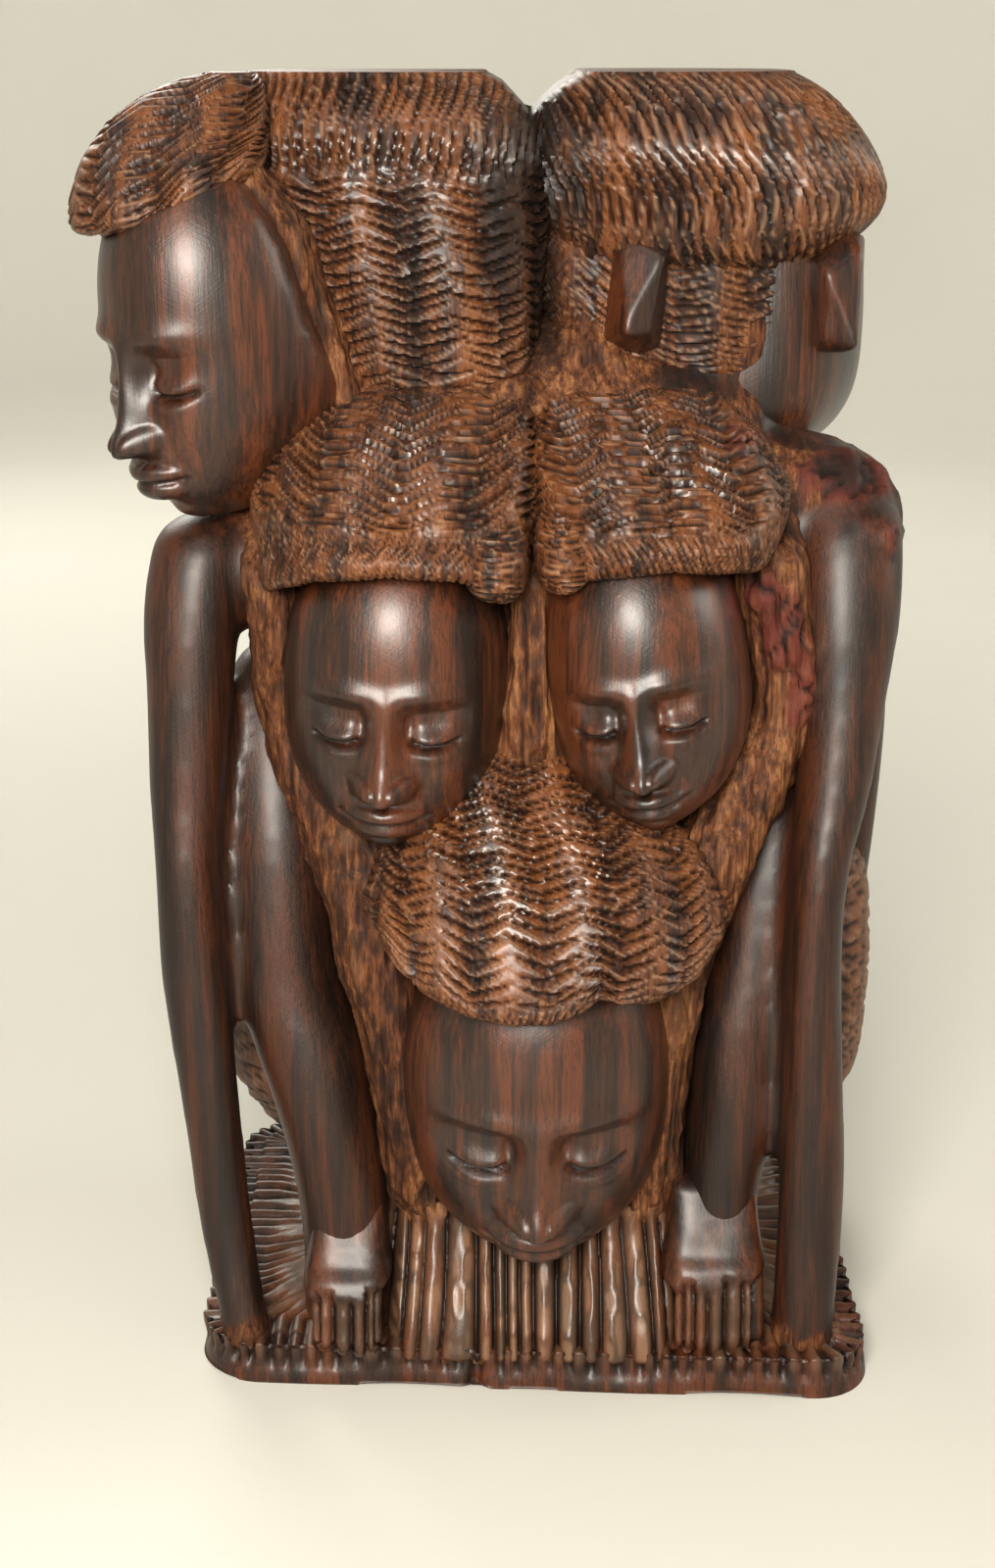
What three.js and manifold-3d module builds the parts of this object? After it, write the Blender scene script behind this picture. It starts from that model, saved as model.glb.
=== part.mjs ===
// A carved group of eight heads with their limbs on one ribbed base, all of it a single block of dark wood.
// Millimetres, +Z up. The origin is on the ground under the middle of the base, and the front looks along -Y.
import * as THREE from "three";
import { mergeVertices } from "three/addons/utils/BufferGeometryUtils.js";
import Module from "manifold-3d";

const wasm = await Module();
wasm.setup();

// Driving dimensions of the block
const blockWidth = 151;
const blockDepth = 112;
const figureHeight = 270;
const baseThickness = 10;
const baseCorner = 14;

// Driving dimensions of the gouged ribs and of the apron under the lowest chin
const ribPitch = 4.6;
const ribDepth = 2.6;
const ribLength = 24;
const apronWidth = 63;
const apronHeight = 28;
const apronReach = 40;
const apronSlope = 14;

// The figures fill the block and stretch with it. Their places are written for a block of these sizes, with the
// height counted from the top of the base.
const drawnWidth = 151;
const drawnDepth = 112;
const drawnHeight = 270;

// How deep the pieces of the block run into each other
const sink = 4;

// How finely the plainer lumps are divided
const coarse = { columns: 12, rows: 6 };

// Heights of the rows of a face: above the eyes as shares of the way to the crown, below them as shares of the way
// to the chin. A head that looks away is plainer.
const fine = [
  1, 0.8, 0.55, 0.35, 0.2, 0.12, 0.05, -0.03, -0.12, -0.22, -0.32, -0.39, -0.44, -0.5, -0.555, -0.62, -0.69, -0.78,
  -0.88, -0.96, -1,
];
const plain = [1, 0.75, 0.4, 0.1, -0.1, -0.35, -0.45, -0.6, -0.8, -0.93, -1];

const halfWidth = blockWidth / 2;
const halfDepth = blockDepth / 2;
const degrees = Math.PI / 180;

// A closed three.js geometry as a solid
function solid(geometry) {
  const bare = geometry.index ? geometry.toNonIndexed() : geometry.clone();
  bare.deleteAttribute("normal");
  bare.deleteAttribute("uv");
  const merged = mergeVertices(bare, 1e-3);
  return new wasm.Manifold(
    new wasm.Mesh({
      numProp: 3,
      vertProperties: merged.attributes.position.array,
      triVerts: new Uint32Array(merged.index.array),
    }),
  );
}

// A geometry in the figures' own measures, as a solid in its place on the base
function figure(geometry) {
  geometry.scale(blockWidth / drawnWidth, blockDepth / drawnDepth, figureHeight / drawnHeight);
  return solid(geometry.translate(0, 0, baseThickness));
}

function joined(solids) {
  return solids.reduce((whole, piece) => whole.add(piece));
}

// Moves every vertex of a geometry by a function of its place, its column and its row
function moved(geometry, columns, move) {
  const position = geometry.attributes.position;
  const v = new THREE.Vector3();
  for (let i = 0; i < position.count; i++) {
    v.fromBufferAttribute(position, i);
    move(v, i % (columns + 1), Math.floor(i / (columns + 1)));
    position.setXYZ(i, v.x, v.y, v.z);
  }
  return geometry;
}

// A unit ball with its poles up and down, as rows and columns of vertices
function ball(columns, rows) {
  return new THREE.SphereGeometry(1, columns, rows).rotateX(Math.PI / 2);
}

// A rounded lump. squareness 2 is an ellipsoid and 4 is nearly a box.
function lump(centre, radii, { squareness = 2, columns = 14, rows = 8 } = {}) {
  const p = squareness;
  return moved(ball(columns, rows), columns, (v) => {
    const reach = 1 / (Math.abs(v.x) ** p + Math.abs(v.y) ** p + Math.abs(v.z) ** p) ** (1 / p);
    v.multiplyScalar(reach).multiply(new THREE.Vector3(...radii)).add(new THREE.Vector3(...centre));
  });
}

// A limb or trunk through level rings, from top to bottom: each ring is [x, y, z, half width, half depth]
function stack(rings, { columns = 10, rows = 10 } = {}) {
  const path = new THREE.CatmullRomCurve3(rings.map(([x, y, z]) => new THREE.Vector3(x, y, z)));
  const girth = new THREE.CatmullRomCurve3(rings.map(([, , , a, b]) => new THREE.Vector3(a, b, 0)));
  return moved(ball(columns, rows), columns, (v, column, row) => {
    const angle = Math.atan2(v.y, v.x);
    const along = Math.min(Math.max((row - 1) / (rows - 2), 0), 1);
    const radius = girth.getPoint(along);
    v.copy(path.getPoint(along));
    if (row === 0 || row === rows) v.z += row === 0 ? 0.2 * radius.x : 0;
    else v.add(new THREE.Vector3(radius.x * Math.cos(angle), radius.y * Math.sin(angle), 0));
  });
}

// A head in its own frame, which looks along -Y with its eyes at the height of the origin: an oval face under a
// cap of hair. face is [half width, depth, eyes to chin, eyes to crown]. Without a hairline the face only pushes
// out of the hair.
function head({ at, turn, face, cap, hairline, levels, columns }) {
  const [yaw, pitch, roll] = turn.map((angle) => angle * degrees);
  const place = new THREE.Matrix4()
    .makeTranslation(...at)
    .multiply(new THREE.Matrix4().makeRotationZ(yaw))
    .multiply(new THREE.Matrix4().makeRotationX(pitch))
    .multiply(new THREE.Matrix4().makeRotationY(roll));
  const oval = figure(faceForm(face, levels, columns).applyMatrix4(place));
  const hair = figure(lump(...cap).applyMatrix4(place));
  if (!hairline) return oval.add(hair);
  return oval.add(hair.subtract(figure(faceWindow(face, hairline).applyMatrix4(place))));
}

// The oval of the face with its features: full at the forehead, narrow at the chin, finest around nose and mouth
function faceForm([w, d, down, up], levels, columns) {
  const rows = levels.length - 1;
  return moved(ball(columns, rows), columns, (v, column, row) => {
    const turn = (2 * Math.PI * column) / columns - Math.PI;
    const t = turn - 0.6 * Math.sin(turn);
    const level = levels[row];
    const share = Math.abs(level);
    const z = level > 0 ? level * up : level * down;
    const wide = w * (1 - share ** 2.6) ** 0.55;
    const deep = d * (level > 0 ? (1 - share ** 2.6) ** 0.5 : (1 - share ** 3.5) ** 0.4);
    const front = Math.max(0, Math.cos(t));
    const back = Math.max(0, -Math.cos(t));
    const x = wide * Math.sin(t);
    const out = share === 1 ? 0 : d * front * relief(x / w, z / down);
    v.set(x, deep * (0.7 * back ** 0.85 - front ** 0.85) - out, z);
  });
}

// How far the features stand out, as a share of the depth of the face: u runs across and v up, -1 at the chin
function relief(u, v) {
  const a = Math.abs(u);
  const along = Math.min(Math.max((0.14 - v) / 0.54, 0), 1);
  const under = v < -0.4 ? Math.exp(-(((v + 0.4) / 0.05) ** 2)) : 1;
  const nose = v > 0.2 ? 0 : (0.03 + 0.22 * along) * Math.exp(-((u / (0.09 + 0.07 * along)) ** 2)) * under;
  const wings = 0.1 * spot(a - 0.18, v + 0.34, 0.09, 0.08);
  const brow = 0.05 * spot(a - 0.35, v - 0.24, 0.4, 0.1);
  const socket = 0.13 * spot(a - 0.42, v - 0.04, 0.24, 0.12);
  const lid = 0.08 * spot(a - 0.42, v + 0.03, 0.17, 0.08);
  const muzzle = 0.05 * spot(u, v + 0.62, 0.4, 0.18);
  const lips = 0.09 * (spot(u, v + 0.55, 0.28, 0.05) + spot(u, v + 0.69, 0.24, 0.06));
  const chin = 0.1 * spot(u, v + 0.93, 0.3, 0.11) - 0.03 * spot(u, v + 0.8, 0.3, 0.05);
  const cheek = 0.04 * spot(a - 0.52, v + 0.28, 0.2, 0.22);
  return nose + wings + brow - socket + lid + muzzle + lips + chin + cheek;
}

function spot(x, z, wide, high) {
  return Math.exp(-((x / wide) ** 2) - (z / high) ** 2);
}

// What is cut out of the hair so that the face shows: an arch with the hairline as its top
function faceWindow([w, d, down, up], hairline) {
  const half = 0.98 * w;
  const top = hairline * up;
  const spring = top - 0.3 * up;
  const foot = -1.5 * down;
  const outline = new THREE.Shape();
  outline.moveTo(-half * 0.7, foot);
  outline.lineTo(half * 0.7, foot);
  outline.lineTo(half, spring);
  outline.quadraticCurveTo(half * 0.95, top, half * 0.5, top);
  outline.lineTo(-half * 0.5, top);
  outline.quadraticCurveTo(-half * 0.95, top, -half, spring);
  const depth = 3 * d;
  return new THREE.ExtrudeGeometry(outline, { depth, bevelEnabled: false, curveSegments: 3 }).rotateX(Math.PI / 2);
}

// The base, a rounded slab with its right front corner a little forward, with ribs gouged out towards each edge
function base() {
  const outline = new THREE.Shape();
  const frontLeft = -halfDepth + 4;
  const frontRight = -halfDepth - 4;
  const r = baseCorner;
  outline.moveTo(-halfWidth + r, frontLeft);
  outline.lineTo(halfWidth - r, frontRight);
  outline.quadraticCurveTo(halfWidth, frontRight, halfWidth, frontRight + r);
  outline.lineTo(halfWidth, halfDepth - r);
  outline.quadraticCurveTo(halfWidth, halfDepth, halfWidth - r, halfDepth);
  outline.lineTo(-halfWidth + r, halfDepth);
  outline.quadraticCurveTo(-halfWidth, halfDepth, -halfWidth, halfDepth - r);
  outline.lineTo(-halfWidth, frontLeft + r);
  outline.quadraticCurveTo(-halfWidth, frontLeft, -halfWidth + r, frontLeft);
  const slab = new THREE.ExtrudeGeometry(outline, { depth: baseThickness, bevelEnabled: false, curveSegments: 5 });
  const grooves = [];
  const inset = ribLength / 2;
  for (let x = -halfWidth + ribPitch; x < halfWidth; x += ribPitch) {
    const underApron = Math.abs(x) < apronWidth / 2;
    if (!underApron) grooves.push(groove([x, -halfDepth + inset - 6, baseThickness], 0, ribLength));
  }
  for (let x = -halfWidth + ribPitch; x < halfWidth; x += 2 * ribPitch) {
    grooves.push(groove([x, halfDepth - inset + 2, baseThickness], 180, ribLength));
  }
  for (let y = -halfDepth + ribLength; y < halfDepth - ribLength + ribPitch; y += ribPitch) {
    grooves.push(groove([-halfWidth + inset - 2, y, baseThickness], -90, ribLength));
    grooves.push(groove([halfWidth - inset + 2, y, baseThickness], 90, ribLength));
  }
  return solid(slab).subtract(joined(grooves.map(solid)));
}

// The hollow between two ribs, deeper at its outer end. yaw 0 runs out along -Y.
function groove([x, y, z], yaw, length, tilt = 5) {
  const half = ribPitch * 0.36;
  const section = new THREE.Shape();
  section.moveTo(0, -ribDepth);
  section.lineTo(half, ribDepth);
  section.lineTo(-half, ribDepth);
  return new THREE.ExtrudeGeometry(section, { depth: length, bevelEnabled: false })
    .rotateX(Math.PI / 2)
    .translate(0, length / 2, 0)
    .rotateX(tilt * degrees)
    .rotateZ(yaw * degrees)
    .translate(x, y, z);
}

// The ribbed apron that slopes from under the lowest chin to the front edge
function apron() {
  const front = -halfDepth - 3;
  const section = new THREE.Shape();
  section.moveTo(front, -sink);
  section.lineTo(front, 0);
  section.lineTo(front + apronSlope, apronHeight);
  section.lineTo(front + apronReach, apronHeight);
  section.lineTo(front + apronReach, -sink);
  const wedge = new THREE.ExtrudeGeometry(section, { depth: apronWidth, bevelEnabled: false })
    .rotateX(Math.PI / 2)
    .rotateZ(Math.PI / 2)
    .translate(-apronWidth / 2, 0, baseThickness);
  const steep = Math.atan2(apronHeight, apronSlope) / degrees;
  const slant = Math.hypot(apronHeight, apronSlope);
  const grooves = [];
  for (let x = -apronWidth / 2; x < apronWidth / 2 + 1; x += ribPitch) {
    const middle = [x, front + apronSlope / 2, baseThickness + apronHeight / 2];
    grooves.push(groove(middle, 0, slant + 2 * ribDepth, steep));
  }
  return solid(wedge).subtract(joined(grooves.map(solid)));
}

// A foot with its toes parted by short cuts
function foot(x, y) {
  const sole = lump([x, y, 4], [11.5, 16, 10], { squareness: 2.6, columns: 12, rows: 6 });
  const cuts = [-1.5, -0.5, 0.5, 1.5].map((toe) => figure(groove([x + toe * 4.4, y - 10, 11], 0, 20, 30)));
  return figure(sole).subtract(joined(cuts));
}

// The block between the figures
const core = stack(
  [
    [0, 6, 236, 40, 24],
    [1, 2, 204, 54, 30],
    [1, 0, 168, 58, 33],
    [0, 1, 128, 55, 36],
    [0, 3, 78, 50, 38],
    [0, 4, 30, 50, 40],
    [0, 4, -sink, 52, 41],
  ],
  { columns: 16, rows: 10 },
);

// Heads that look to the front, with their hair cut back over the forehead
const nearHeads = [
  {
    at: [-63, -20, 217],
    turn: [-44, 12, 0],
    face: [22, 28, 35, 52],
    cap: [[-2, -3, 44], [20, 22, 18], { squareness: 2.7, columns: 16 }],
  },
  {
    at: [-29, -33, 147],
    turn: [-4, 9, 2],
    face: [24, 28, 32, 48],
    cap: [[-1, 10, 36], [31, 33, 21], { squareness: 2.6, columns: 16 }],
  },
  {
    at: [24, -33, 149],
    turn: [-8, 9, -8],
    face: [21.5, 28, 30, 48],
    cap: [[0, 10, 36], [28, 33, 20], { squareness: 2.6, columns: 16 }],
  },
  {
    at: [0.5, -37, 58],
    turn: [0, 15, 0],
    face: [30, 31, 38, 52],
    cap: [[-2.5, 10, 45], [44, 36, 32], { squareness: 2.5, columns: 18 }],
  },
].map((form) => head({ ...form, hairline: 0.63, levels: fine, columns: 18 }));

// Heads that look away: the two upper ones, then the two in the lower corners of the back
const farHeads = [
  {
    at: [-30, 4, 222],
    turn: [200, 4, 0],
    face: [25, 37, 30, 48],
    cap: [[0, 7, 12], [33, 32, 42], { squareness: 3.2, columns: 16 }],
  },
  {
    at: [41, 14, 214],
    turn: [150, 4, 0],
    face: [24, 33, 27, 50],
    cap: [[1, 5, 38], [37, 34, 26], { squareness: 2.6, columns: 16 }],
  },
  { at: [-46, 26, 52], turn: [205, 6, 0], face: [24, 30, 30, 46], cap: [[2, 11, 10], [30, 27, 46]] },
  { at: [52, 26, 52], turn: [152, 6, 0], face: [24, 30, 30, 46], cap: [[-2, 11, 10], [30, 27, 45]] },
].map((form) => head({ ...form, levels: plain, columns: 12 }));

// Nape and ears of the right upper head
const nape = [
  lump([41, 8, 222], [24, 30, 36], coarse),
  lump([19.5, -14, 224], [6, 9, 13], { squareness: 3, columns: 8, rows: 4 }),
  lump([62.5, -8, 223], [5, 9, 12], { squareness: 3, columns: 8, rows: 4 }),
];

const shoulders = [
  lump([-62, -14, 168], [18, 17, 14], coarse),
  lump([54, -7, 176], [27, 19, 20], coarse),
  lump([-32, 22, 184], [28, 20, 18], coarse),
  lump([34, 22, 184], [28, 20, 18], coarse),
];

// Thighs, from the knee back to the hip
const thighs = [-1, 1].map((side) =>
  stack(
    [
      [side * 58, -8, 146, 6, 8],
      [side * 57, -2, 138, 10, 14],
      [side * 53, 6, 120, 12, 22],
      [side * 49, 12, 96, 10, 22],
      [side * 46, 14, 76, 6, 14],
    ],
    { columns: 8, rows: 7 },
  ),
);

// Front arms, from the shoulder to the base
const arms = [
  stack([
    [-70, -20, 180, 5, 6],
    [-71.5, -22, 175, 9.6, 10.5],
    [-73.3, -26, 160, 10.3, 11],
    [-74, -29, 144, 9.3, 10.5],
    [-74.8, -33, 123, 8.2, 9.5],
    [-75, -38, 104, 6.9, 8.5],
    [-74, -40, 80, 7.2, 8],
    [-71.5, -42, 51, 6.3, 7],
    [-68.8, -44, 22, 5.8, 6.5],
    [-64, -50, -sink, 5, 6],
  ]),
  stack([
    [68.5, -16, 184, 6, 7],
    [68, -19, 178, 10.5, 11],
    [67.3, -25, 160, 10.8, 11.5],
    [66.1, -30, 144, 9.4, 10.5],
    [64, -36, 124, 8, 9.5],
    [61, -42, 106, 6.2, 8.5],
    [60.4, -44, 82, 6.2, 8],
    [61.7, -47, 36, 7.2, 7.5],
    [60.5, -50.5, -sink, 6.8, 7],
  ]),
];

// Front legs, from the knee to the base
const legs = [
  stack([
    [-58, -10, 148, 6, 7],
    [-58, -14, 138, 11, 11],
    [-57, -20, 110, 13, 15],
    [-50, -27, 78, 17, 15],
    [-46, -31, 50, 14, 12],
    [-44, -33, 30, 10, 10],
    [-42, -36, -sink, 10, 11],
  ]),
  stack([
    [56, -8, 146, 6, 7],
    [56, -12, 136, 10, 11],
    [54, -18, 110, 12, 14],
    [47, -28, 78, 12, 13],
    [43, -32, 50, 11, 11],
    [41, -34, 30, 10, 10],
    [40, -36, -sink, 10, 11],
  ]),
];
const feet = [foot(-41, -46), foot(39, -47)];

// Arms of the figures that look away: two down the middle of the back and a thin one at the right side
const farArms = [
  [
    [-30, 36, 188, 9, 9],
    [-24, 42, 150, 9, 9],
    [-17, 45, 110, 7.5, 8],
    [-13, 47, 60, 7, 8],
    [-11, 48, -sink, 6.5, 7],
  ],
  [
    [33, 36, 190, 9, 9],
    [26, 42, 150, 9, 9],
    [19, 45, 110, 7.5, 8],
    [15, 47, 60, 7, 8],
    [12, 48, -sink, 6.5, 7],
  ],
  [
    [72, 6, 172, 6, 8],
    [76, 10, 140, 6, 8],
    [77, 14, 110, 5.5, 8],
    [74, 20, 70, 6, 9],
    [68, 22, 40, 6, 9],
  ],
].map((rings) => stack(rings, { columns: 8, rows: 7 }));

// The saw left the tops of the upper heads flat, and nothing goes below the ground
const room = 4 * (blockWidth + figureHeight);
const above = new THREE.BoxGeometry(room, room, room).translate(0, 0, baseThickness + figureHeight + room / 2);
const below = new THREE.BoxGeometry(room, room, room).translate(0, 0, -room / 2);
const plainForms = [core, ...nape, ...shoulders, ...thighs, ...arms, ...legs, ...farArms].map(figure);
const group = joined([...plainForms, ...nearHeads, ...farHeads, ...feet, base(), apron()])
  .subtract(solid(above))
  .subtract(solid(below));

const result = group.getMesh();
const geometry = new THREE.BufferGeometry();
geometry.setAttribute("position", new THREE.BufferAttribute(result.vertProperties, 3));
geometry.setIndex(new THREE.BufferAttribute(result.triVerts, 1));
geometry.computeVertexNormals();

const wood = new THREE.MeshStandardMaterial({ color: 0x3a1e12, roughness: 0.4, metalness: 0 });
const carving = new THREE.Mesh(geometry, wood);
carving.name = "carving";

const part = new THREE.Group();
part.add(carving);

export default part;
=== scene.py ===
# The looks of a carved group of eight heads with their limbs on one ribbed base, all one block of blackwood.
# The carving's sizes are in millimetres, and become metres where a mesh is written. The stage is in metres.
import math
import bpy
import numpy as np
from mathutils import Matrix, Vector


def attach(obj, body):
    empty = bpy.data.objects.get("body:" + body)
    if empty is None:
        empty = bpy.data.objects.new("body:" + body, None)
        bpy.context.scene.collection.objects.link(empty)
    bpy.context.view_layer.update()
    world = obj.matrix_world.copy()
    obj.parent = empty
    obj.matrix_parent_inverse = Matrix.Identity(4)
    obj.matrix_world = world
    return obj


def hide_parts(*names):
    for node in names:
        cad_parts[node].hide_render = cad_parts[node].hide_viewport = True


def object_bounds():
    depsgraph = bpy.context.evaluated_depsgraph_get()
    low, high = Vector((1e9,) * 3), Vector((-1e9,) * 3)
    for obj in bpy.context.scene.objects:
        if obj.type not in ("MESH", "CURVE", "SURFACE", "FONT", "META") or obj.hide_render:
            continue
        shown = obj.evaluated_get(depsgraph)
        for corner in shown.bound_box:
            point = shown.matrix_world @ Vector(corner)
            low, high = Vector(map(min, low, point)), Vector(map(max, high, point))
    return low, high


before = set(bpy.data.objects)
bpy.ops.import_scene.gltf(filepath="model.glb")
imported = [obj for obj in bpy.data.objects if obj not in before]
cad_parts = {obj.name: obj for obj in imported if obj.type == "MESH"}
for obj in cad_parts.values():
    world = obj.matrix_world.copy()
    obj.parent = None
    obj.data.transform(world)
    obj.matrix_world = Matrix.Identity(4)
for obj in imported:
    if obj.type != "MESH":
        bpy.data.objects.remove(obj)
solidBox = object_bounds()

millimetre = 0.001
low, high = (np.array(corner) / millimetre for corner in solidBox)
block = {
    "baseThickness": 10,
    "margin": 0.05,  # every point stays this far inside the solid's box
    "snap": 0.3,  # and lies in the floor or in the sawn top if it is this near to it
}


# Numbers that look random and are the same each run

def hashed(i, j, k=0.0):
    value = np.sin(i * 127.1 + j * 311.7 + k * 74.7) * 43758.5453
    return value - np.floor(value)


def grainNoise(points, cell, seed):
    # soft noise from -1 to 1, with cells of the size given along x, y and z
    place = points / np.array(cell)
    corner = np.floor(place)
    part = place - corner
    part = part * part * (3 - 2 * part)
    total = 0
    for dx in (0, 1):
        for dy in (0, 1):
            for dz in (0, 1):
                weight = np.ones(part.shape[:-1])
                for axis, step in enumerate((dx, dy, dz)):
                    weight = weight * (part[..., axis] if step else 1 - part[..., axis])
                lattice = corner + np.array((dx, dy, dz))
                chance = hashed(lattice[..., 0], lattice[..., 1], lattice[..., 2] + seed * 17.3)
                total = total + weight * chance
    return total * 2 - 1


def smooth(a, b, x):
    t = np.clip((x - a) / (b - a), 0, 1)
    return t * t * (3 - 2 * t)


def spot(x, z, wide, tall):
    return np.exp(-((x / wide) ** 2) - (z / tall) ** 2)


def dome(x, z, wide, tall):
    # a lump with a crisp edge
    return np.sqrt(np.clip(1 - (x / wide) ** 2 - (z / tall) ** 2, 0, 1))


# Balls of rows and columns that a shape is carved from

def readPoints(piece):
    flat = np.zeros(len(piece.data.vertices) * 3, np.float32)
    piece.data.vertices.foreach_get("co", flat)
    return flat.reshape(-1, 3).astype(float)


def writePoints(piece, points):
    inside = np.clip(points, low + block["margin"], high - block["margin"])
    inside[:, 2] = np.where(points[:, 2] > high[2] - block["snap"], high[2], inside[:, 2])
    inside[:, 2] = np.where(points[:, 2] < block["snap"], 0, inside[:, 2])
    piece.data.vertices.foreach_set("co", (inside * millimetre).astype(np.float32).ravel())
    piece.data.update()


def addBall(name, columns, rows):
    # a ball, with the row and the column of each of its points
    bpy.ops.object.select_all(action="DESELECT")
    bpy.ops.mesh.primitive_uv_sphere_add(segments=columns, ring_count=rows, radius=1)
    ball = bpy.context.object
    ball.name = name
    unit = readPoints(ball)
    row = np.rint(np.arccos(np.clip(unit[:, 2], -1, 1)) / math.pi * rows).astype(int)
    column = np.rint(np.arctan2(unit[:, 1], unit[:, 0]) / (2 * math.pi) * columns).astype(int) % columns
    column[(row == 0) | (row == rows)] = 0
    return ball, row, column


# Three marks paint light into the colour: painted shade in cuts, creases and cracks, painted highlights on
# edges that are partly paler worn wood, and painted shade in the valleys that also darkens the waxed limbs
markNames = ("polish", "hollow", "lip", "scar", "soot", "hair")


def setMarks(piece, **marks):
    # what the wood's material reads at each point, from 0 to 1
    for name in markNames:
        values = np.broadcast_to(marks.get(name, 0.0), len(piece.data.vertices))
        layer = piece.data.attributes.new(name, "FLOAT", "POINT")
        layer.data.foreach_set("value", values.astype(np.float32))


def carveBall(name, grid, **marks):
    # grid holds a place for each row and column, column 0 at the back and the middle column at the front
    rows, columns = grid.shape[0] - 1, grid.shape[1]
    ball, row, column = addBall(name, columns, rows)
    writePoints(ball, grid[row, column])
    setMarks(ball, **{key: value[row, column] if np.ndim(value) else value for key, value in marks.items()})
    return ball


def spread(count, knots):
    # count steps over the angles of the knots, closer together where the second number is higher
    angle = np.linspace(knots[0][0], knots[-1][0], 2000)
    weight = np.interp(angle, [knot[0] for knot in knots], [knot[1] for knot in knots])
    total = np.concatenate([[0], np.cumsum((weight[1:] + weight[:-1]) / 2)])
    return np.interp(np.linspace(0, total[-1], count + 1), total, angle)


def turns(count, frontWeight=1.0):
    # the angle of each column from the front, in radians
    knots = [(-180, 1), (-115, 1), (-95, frontWeight), (95, frontWeight), (115, 1), (180, 1)]
    return np.radians(spread(count, knots)[:-1])


def lump(centre, radii, square, turn, fall):
    # a rounded lump: square 2 is an ellipsoid and 4 is nearly a box
    side = np.stack(
        [
            np.sin(fall)[:, None] * np.sin(turn)[None, :],
            -np.sin(fall)[:, None] * np.cos(turn)[None, :],
            np.cos(fall)[:, None] * np.ones_like(turn)[None, :],
        ],
        -1,
    )
    reach = 1 / (np.abs(side) ** square).sum(-1) ** (1 / square)
    return side * reach[..., None] * np.array(radii) + np.array(centre)


def outward(grid):
    # the direction out of the surface at each point of a grid
    across = np.roll(grid, -1, 1) - np.roll(grid, 1, 1)
    down = np.gradient(grid, axis=0)
    normal = np.cross(down, across)
    length = np.linalg.norm(normal, axis=-1, keepdims=True)
    normal = np.where(length > 1e-9, normal / np.maximum(length, 1e-9), 0)
    normal[0] = (0, 0, 1)
    normal[-1] = (0, 0, -1)
    return normal


def alongRing(grid):
    # the way round each row from the front, to the right of it positive
    step = np.linalg.norm(np.roll(grid, -1, 1) - grid, axis=-1)
    total = np.concatenate([np.zeros((len(grid), 1)), np.cumsum(step, 1)[:, :-1]], 1)
    middle = grid.shape[1] // 2
    return total - total[:, middle : middle + 1]


def downRows(grid):
    # the mean way from the top to each row
    step = np.linalg.norm(np.diff(grid, axis=0), axis=-1).mean(1)
    return np.concatenate([[0], np.cumsum(step)])[:, None] * np.ones(grid.shape[1])


def placed(grid, at, turn):
    # from a head's own frame to the block's: rolled, pitched, turned and lifted onto the base
    yaw, pitch, roll = (math.radians(angle) for angle in turn)
    x, y, z = grid[..., 0], grid[..., 1], grid[..., 2]
    x, z = x * math.cos(roll) + z * math.sin(roll), z * math.cos(roll) - x * math.sin(roll)
    y, z = y * math.cos(pitch) - z * math.sin(pitch), y * math.sin(pitch) + z * math.cos(pitch)
    x, y = x * math.cos(yaw) - y * math.sin(yaw), x * math.sin(yaw) + y * math.cos(yaw)
    return np.stack([x, y, z], -1) + np.array(at) + np.array([0, 0, block["baseThickness"]])


# Gouge cuts in the hair: wedges blunt at one end and pointed at the other, steep above their deepest line and
# shallow below it, with tips that reach between the cuts of the next column

gouge = {"slant": 0.8, "zoneSlant": 0.25, "wander": 0.45, "blunt": 0.22, "wallBelow": 0.95, "wallAbove": 0.2}


def gouges(along, across, cut, seed, slant=gouge["slant"]):
    # the depth of the cuts, a painted shadow along the steep upper wall of each and painted highlights,
    # partly paler worn wood, on the edges beside them
    long, tall, wander = cut["long"], cut["tall"], gouge["wander"]
    column = np.floor(along / long)
    best = np.zeros(along.shape)
    cutShadow = best.copy()
    rim = best.copy()
    for di in (-1, 0, 1):
        i = column + di
        side = 1 - 2 * np.mod(i, 2)  # every other column points the other way
        shift = 0.3 * hashed(i, 3.0, seed) * tall
        row = np.floor((across - shift) / tall)
        for dj in (-1, 0, 1):
            j = row + dj
            ds = along / long - (i + 0.5 + 0.7 * wander * (hashed(i, j, seed) - 0.5))
            dt = (across - shift) / tall - (j + 0.5 + wander * (hashed(i, j, seed + 2) - 0.5))
            dt = dt + side * slant * (0.6 + 0.8 * hashed(i, j, seed + 1)) * ds
            size = 0.8 + 0.5 * hashed(i, j, seed + 4)
            way = 0.5 + 0.5 * side * ds / (0.7 * size)
            mouth = np.clip(way / gouge["blunt"], 0, 1) * np.clip((1 - way) / (1 - gouge["blunt"]), 0, 1)
            wall = np.where(dt > 0, gouge["wallBelow"], gouge["wallAbove"]) * np.maximum(mouth, 1e-3)
            cutIn = size * mouth**0.8 * np.clip(1 - np.abs(dt) / wall, 0, 1)
            # painted shadow along the deepest line of the cut and its steep wall above
            dark = smooth(0.04, 0.2, mouth) * smooth(0.26 * mouth + 0.02, 0.04 * mouth, dt)
            dark = dark * smooth(-0.26, -0.16, dt)
            # painted highlight, partly paler worn wood, on the shallow wall near the cut's lower edge
            edge = smooth(0.02, 0.08, cutIn) * smooth(0.3, 0.14, cutIn) * (dt > 0)
            cutShadow = np.where(cutIn >= best, dark, cutShadow)
            rim = np.where(cutIn >= best, edge, rim)
            best = np.maximum(best, cutIn)
    return cut["deep"] * best, cutShadow * smooth(0.1, 0.4, best), rim


# Heads. Each face looks along -Y in its own frame, with its eyes at the height of the origin.

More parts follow.
